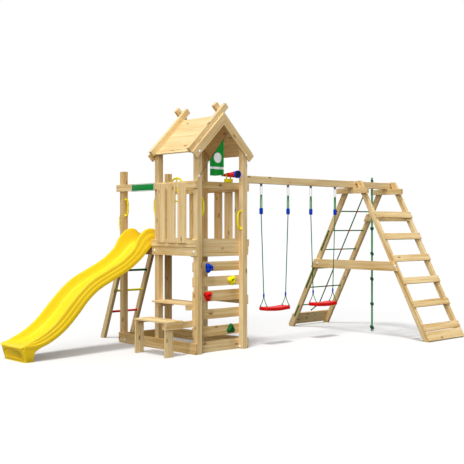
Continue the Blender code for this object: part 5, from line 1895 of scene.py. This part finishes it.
@dataclass
class ClimbingNet:
    """One rope threaded to and fro through the legs, a middle rope, ties, and red crossing pieces."""

    thick: float = 0.0082
    levels: tuple[float, ...] = (1.637, 1.373, 1.109, 0.846, 0.57, 0.312)
    last_level: float = 0.15
    middle_x: float = 3.19
    middle_top: float = 1.845
    beyond: float = 0.0015
    bend: float = 0.007
    ties: Profile = ((2.905, 0.09), (3.085, 0.1))
    tie: Profile = ((0.026, 0.0082), (0.004, 0.0082), (-0.002, 0.0115), (-0.008, 0.0115), (-0.013, 0.004))
    tail: Point = (-0.165, 0.006, -0.085)
    tail_knot: Profile = ((-0.01, 0.0082), (-0.004, 0.0105), (0.004, 0.0105), (0.01, 0.004))
    start_knot: Profile = (
        (-0.013, 0.004), (-0.01, 0.009), (-0.005, 0.012), (0, 0.0125), (0.005, 0.012), (0.01, 0.009), (0.013, 0.004),
    )
    cross: Profile = (
        (0.0065, -0.017), (0.009, -0.0165), (0.0122, -0.01), (0.0125, -0.008), (0.0114, -0.004), (0.0125, 0),
        (0.0114, 0.004), (0.0125, 0.008), (0.0122, 0.01), (0.009, 0.0165), (0.0065, 0.017),
    )
    collar: Profile = (
        (0.0066, -0.016), (0.0084, -0.0155), (0.009, -0.009), (0.009, 0.009), (0.0084, 0.0155), (0.0066, 0.016),
    )

    def build(self, shop: Workshop) -> None:
        """Make the ropes and the crossing pieces."""
        shop.deliver(merge(self.lines()), "net_ropes", Finish.ROPE, nodes=["climbing_net"], angle=60)
        pieces = []
        for z in self.levels:
            centre = (self.middle_x, net_y(z), z)
            upright = turned(self.collar, (0, 0, 0), Axis.Z, 20)
            upright.data.transform(Matrix.Translation(centre) @ Matrix.Rotation(LEG_TILT, 4, "X"))
            pieces += [turned(self.cross, centre, Axis.X, 24), upright]
        shop.deliver(merge(pieces), "net_crossings", Finish.RED, nodes=["climbing_net"], angle=40)

    def lines(self) -> list[Body]:
        """The ropes and their knots.

        Returns:
            Threaded rope, middle rope, ties, loose tail with its knot, and the first end's knot.
        """
        outside = self.thick + self.beyond
        left, right = FRAME_LEFT_X - outside, FRAME_RIGHT_X + outside
        route = [Vector((left + self.start_knot[0][0] + 0.001, net_y(self.levels[0]), self.levels[0]))]
        for number, z in enumerate(self.levels):
            ends = (left, right) if number % 2 == 0 else (right, left)
            route += [Vector((x, net_y(z), z)) for x in (ends if number else ends[1:])]
        route.append(Vector((left, net_y(self.last_level), self.last_level)))
        low_z = self.levels[-1]
        top, low = (Vector((self.middle_x, net_y(z), z)) for z in (self.middle_top, low_z - 0.02))
        lines = [rope(self.rounded(route), self.thick, 12), rope(straight(top, low, 60), self.thick, 12)]
        for x, z in self.ties:
            lines.append(self.knot(Vector((x, leg_line(z, 1, True), z)), leg_ways(1)[1], self.tie, 12))
        crossing = Vector((self.middle_x, net_y(low_z), low_z))
        tail = crossing + Vector(self.tail)
        lines.append(rope(smooth_route(straight(crossing, tail, 2), 10), self.thick, 12))
        lines.append(self.knot(tail, (tail - crossing).normalized(), self.tail_knot, 12))
        lines.append(self.knot(route[0], Vector((1, 0, 0)), self.start_knot, 14))
        return lines

    @staticmethod
    def knot(place: Vector, way: Vector, profile: Profile, sides: int) -> Body:
        """A short swelling rope, by its places along a way and its radius at each."""
        return rope([place + way * along for along, _ in profile], [radius for _, radius in profile], sides)

    def rounded(self, route: list[Vector]) -> list[Vector]:
        """The route with each corner turned in a small bend.

        Args:
            route: its corners.

        Returns:
            A finer route.
        """
        fine = [route[0]]
        for before, here, after in zip(route, route[1:], route[2:]):
            enter = here + (before - here).normalized() * self.bend
            leave_at = here + (after - here).normalized() * self.bend
            fine += straight(fine[-1], enter, 24)[1:]
            for t in (0.25, 0.5, 0.75):
                fine.append((1 - t) ** 2 * enter + 2 * t * (1 - t) * here + t * t * leave_at)
            fine.append(leave_at)
        return fine + straight(fine[-1], route[-1], 8)[1:]


@dataclass
class KnottedRope:
    """The climbing rope: held by a knot on the beam, with knots to climb on."""

    x: float = 3.16
    top: float = 2.096
    low: float = 0.008
    thick: float = 0.0135
    knots: Profile = ((2.05, 1.45), (1.402, 1.85), (1.059, 1.85), (0.716, 1.85), (0.374, 1.85), (0.055, 2.1))
    turns: float = 2.15
    steps: int = 46
    knot_half: float = 0.0165
    knot_lean: float = 0.006

    def build(self, shop: Workshop) -> None:
        start, end = (Vector((self.x, BEAM_MID_Y, z)) for z in (self.top, self.low))
        route = straight(start, end, 120)
        line = rope(route, self.thick, 16)
        shop.deliver(line, "climbing_rope", Finish.TWINE, nodes=["knotted_rope"], angle=60)
        wraps = [self.wrap(z, self.thick * swell) for z, swell in self.knots]
        # The knots get the darker material as painted shade.
        knots = shop.deliver(merge(wraps), "climbing_rope_knots", Finish.KNOT, nodes=["knotted_rope"], angle=60)

    def wrap(self, z: float, reach: float) -> Body:
        """One overhand knot, seen as its turns round the rope.

        Args:
            z: its middle.
            reach: its outer radius.

        Returns:
            The wound piece.
        """
        points, radii = [], []
        strand = min(self.thick * 0.92, reach * 0.5)
        for i in range(self.steps + 1):
            t = i / self.steps
            angle = 2 * math.pi * self.turns * t + z * 7
            tuck = min(1.0, 7 * t, 7 * (1 - t))
            away = (reach - strand) * (0.25 + 0.75 * tuck)
            up = z + self.knot_half * (1 - 2 * t) + self.knot_lean * math.sin(angle)
            points.append(Vector((self.x + math.cos(angle) * away, BEAM_MID_Y + math.sin(angle) * away, up)))
            radii.append(strand * (0.62 + 0.38 * tuck))
        return rope(points, radii, 12)


@dataclass
class Fittings:
    """Bolt caps, screw heads, and the small plain sign on the left handrail."""

    caps: Cuts = (
        ((-0.0203, 1.352, 0.042), (-1, 0, 0)), ((0.6997, 0.052, 0.024), (-1, 0, 0)),
        ((0.0196, -0.0223, 2.2705), (0, -1, 0)), ((0.73, -0.0223, 2.263), (0, -1, 0)), ((0.03, 0, 1.995), (0, -1, 0)),
        ((-0.0183, 0.7556, 1.1505), (-1, 0, 0)), ((-0.0183, 0.044, 1.148), (-1, 0, 0)),
        ((0.7883, 0.7556, 1.1505), (1, 0, 0)), ((0.7883, 0.0543, 1.148), (1, 0, 0)),
        ((0.7903, 1.372, 0.042), (1, 0, 0)), ((0.7903, 0.11, 0.042), (1, 0, 0)), ((2.7197, 0.641, 0.92), (-1, 0, 0)),
        ((2.7197, -0.676, 0.921), (-1, 0, 0)), ((0.0196, 0.7973, 2.2705), (0, 1, 0)),
        ((0.73, 0.7973, 2.263), (0, 1, 0)),
    )
    cap: Profile = ((0.015, 0), (0.0156, 0.0008), (0.0153, 0.0034), (0.013, 0.0058), (0.0072, 0.0072), (0, 0.0076))
    screw: Profile = ((0.0044, 0), (0.004, 0.0009), (0.0016, 0.0012), (0, 0.0003))
    from_edge: float = 0.025
    deck_rows: int = 13
    deck_first: float = 0.1156
    sign: tuple[Span, Span, Span] = ((-0.0335, -0.0303), (0.748, 1.197), (1.853, 1.943))

    def put(self, profile: Profile, place: Point, normal: Point, steps: int) -> Body:
        """A small turned head on a face.

        Args:
            profile: radius and height over the face.
            place: its middle on the face.
            normal: the way out of the face.
            steps: faces round it.

        Returns:
            The object.
        """
        made = turned(profile, (0.0, 0.0, 0.0), Axis.Z, steps)
        turn = Vector((0, 0, 1)).rotation_difference(Vector(normal)).to_matrix().to_4x4()
        made.data.transform(Matrix.Translation(place) @ turn)
        return made

    def screws(self) -> Iterable[tuple[Point, Point]]:
        """Where screws show: deck boards, railing boards, wall boards, treads and beam.

        Returns:
            Pairs of place and way out.
        """
        for number in range(self.deck_rows):
            y = self.deck_first + Deck.pitch * number
            yield from (((x, y + step, DECK_Z), (0, 0, 1)) for x in (0.093, 0.677) for step in (0.022, 0.072))
        outer = RAIL + BOARD + GAP
        for sign, x, spans in ((-1, -outer, LEFT_UPRIGHTS), (1, WIDE + outer, RIGHT_UPRIGHTS)):
            for low, high in spans:
                for z in (1.265, 1.89):
                    yield (x, low + self.from_edge, z), (sign, 0, 0)
                    yield (x, high - self.from_edge, z), (sign, 0, 0)
        for high, low in FrontBoards.wall:
            for x in (0.035, 0.735):
                for z in (low + self.from_edge, high - self.from_edge):
                    yield (x, POST + GAP + FrontBoards.wall_thick, z), (0, 1, 0)
        out = leg_ways(-1)[1]
        for mid in ClimbingFrame.step_mids:
            for x in (FRAME_LEFT_X + 0.022, FRAME_RIGHT_X - 0.022):
                for z in (mid - 0.018, mid + 0.018):
                    yield tuple(Vector((x, leg_line(z, -1, True), z)) + out * ClimbingFrame.board), tuple(out)
        yield from (((x, 0.0, 1.964), (0, -1, 0)) for x in (2.806, 3.502))

    def build(self, shop: Workshop) -> None:
        """Make caps, screws and sign."""
        caps = [self.put(self.cap, place, normal, 24) for place, normal in self.caps]
        shop.deliver(merge(caps), "bolt_caps", Finish.WHITE, angle=50)
        heads = [self.put(self.screw, place, normal, 8) for place, normal in self.screws()]
        shop.deliver(merge(heads), "screw_heads", Finish.STEEL, angle=30)
        shop.deliver(block(*self.sign, 0.0012), "rail_sign", Finish.SIGN, angle=40)
        x = self.sign[0][0]
        rim = self.frame((x - 0.0012, x + 0.001), 0.004)
        carve(rim, self.frame(about(x, 0.01), 0.009))
        shop.deliver(rim, "rail_sign_rim", Finish.WHITE, angle=40)

    def frame(self, x: Span, inset: float) -> Body:
        """A block over a span in x that stays inside the sign's edges."""
        return block(x, *((low + inset, high - inset) for low, high in self.sign[1:]))


@dataclass
class Stage:
    """Pale floor, soft studio light and the photograph's camera."""

    eye: Point = (-6.2441, -7.3362, 1.45)
    heading: float = -42.7
    lens: float = 66.99
    shift_y: float = -0.0151
    sky: float = 0.34
    lamps: tuple[tuple[str, float, Point, float], ...] = (
        ("studio_key", 2.1, (9.4, -16.3, 0), 13.0), ("studio_fill", 1.66, (34.0, -66.0, 0), 50.0),
    )
    floor_lift: float = 0.135
    floor_seen: float = 0.78
    floor_cast: float = 0.13

    def build(self, origin: Vector) -> None:
        """Make camera, floor and lights.

        Args:
            origin: the tower frame's zero in the row's frame.
        """
        facts = bpy.data.cameras.new("studio_camera")
        facts.sensor_width, facts.sensor_fit, facts.lens = 36.0, "HORIZONTAL", self.lens
        facts.shift_y, facts.clip_end = self.shift_y, 200.0
        camera = bpy.data.objects.new("studio_camera", facts)
        camera.location = Vector(self.eye) + origin
        camera.rotation_euler = Euler((math.radians(90), 0, math.radians(self.heading)))
        bpy.context.scene.collection.objects.link(camera)
        bpy.context.scene.camera = camera
        bpy.context.scene.view_settings.view_transform = "Standard"
        self.light()
        self.floor()

    def light(self) -> None:
        """An even pale sky, a high key lamp and a wide fill lamp from the slide's side."""
        world = bpy.data.worlds.new("studio_sky")
        bpy.context.scene.world = world
        world.use_nodes = True
        graph = Graph(world.node_tree)
        world.node_tree.nodes.clear()
        path = graph.add("LightPath")
        seen = graph.math("MAXIMUM", path.outputs["Is Camera Ray"], path.outputs["Is Glossy Ray"])
        seen = graph.math("MAXIMUM", seen, path.outputs["Is Transmission Ray"])
        dim = graph.add("Background", {"Color": WHITE_LIGHT, "Strength": self.sky}).outputs[0]
        white = graph.add("Background", {"Color": WHITE_LIGHT, "Strength": 1.0}).outputs[0]
        mixed = graph.add("MixShader", {0: seen, 1: dim, 2: white}).outputs[0]
        graph.add("OutputWorld", {0: mixed})
        for name, strength, turn, soft in self.lamps:
            lamp = bpy.data.lights.new(name, "SUN")
            lamp.energy, lamp.angle = strength, math.radians(soft)
            placed = bpy.data.objects.new(name, lamp)
            placed.rotation_euler = Euler(tuple(math.radians(angle) for angle in turn))
            bpy.context.scene.collection.objects.link(placed)

    def floor(self) -> None:
        """A wide plain floor that clips to white and keeps the tower's shadow."""
        only()
        bpy.ops.mesh.primitive_plane_add(size=80.0, location=(0.0, 0.0, 0.0))
        floor = bpy.context.object
        floor.name = "studio_floor"
        made = bpy.data.materials.new("studio_floor")
        made.use_nodes = True
        graph = Graph(made.node_tree)
        made.node_tree.nodes.clear()
        path = graph.add("LightPath")
        seen = graph.math("MAXIMUM", path.outputs["Is Camera Ray"], path.outputs["Is Glossy Ray"])
        glow = graph.math("MULTIPLY", seen, self.floor_lift)
        grey = graph.blend(path.outputs["Is Camera Ray"], (self.floor_cast,) * 3, (self.floor_seen,) * 3)
        matte = graph.add("BsdfDiffuse", {"Color": grey}).outputs[0]
        lift = graph.add("Emission", {"Color": WHITE_LIGHT, "Strength": glow}).outputs[0]
        both = graph.add("AddShader", {0: matte, 1: lift}).outputs[0]
        graph.add("OutputMaterial", {0: both})
        floor.data.materials.append(made)


def main() -> None:
    """Build the studio and then every sub-assembly of the tower, in order.
    """
    logging.basicConfig(level=logging.INFO, format="%(message)s")
    origin = Vector(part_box("post_front_left")[0])
    origin.z = 0.0
    Stage().build(origin)
    finishes = Finishes()
    finishes.prepare()
    shop = Workshop(finishes, origin)
    assemblies = (
        KnottedRope(), Flag(), Posts(), Sandbox(), Deck(), FrontBoards(),
        Railing("left", LEFT_UPRIGHTS, deck_end=0.805, rail_low=1.862, rail_end=1.517),
        Railing("right", RIGHT_UPRIGHTS, deck_end=DEEP), Roof(), TableAndBench(), RearLadder(), WaveSlide(),
        Holds(), Handles(), SteeringWheel(), Telescope(), SwingBeam(), Swing("swing_1", (1.034, 1.5)),
        Swing("swing_2", (1.918, 2.386)), ClimbingFrame(), ClimbingNet(), Fittings(),
    )
    for assembly in assemblies:
        assembly.build(shop)


if __name__ == "__main__":
    main()
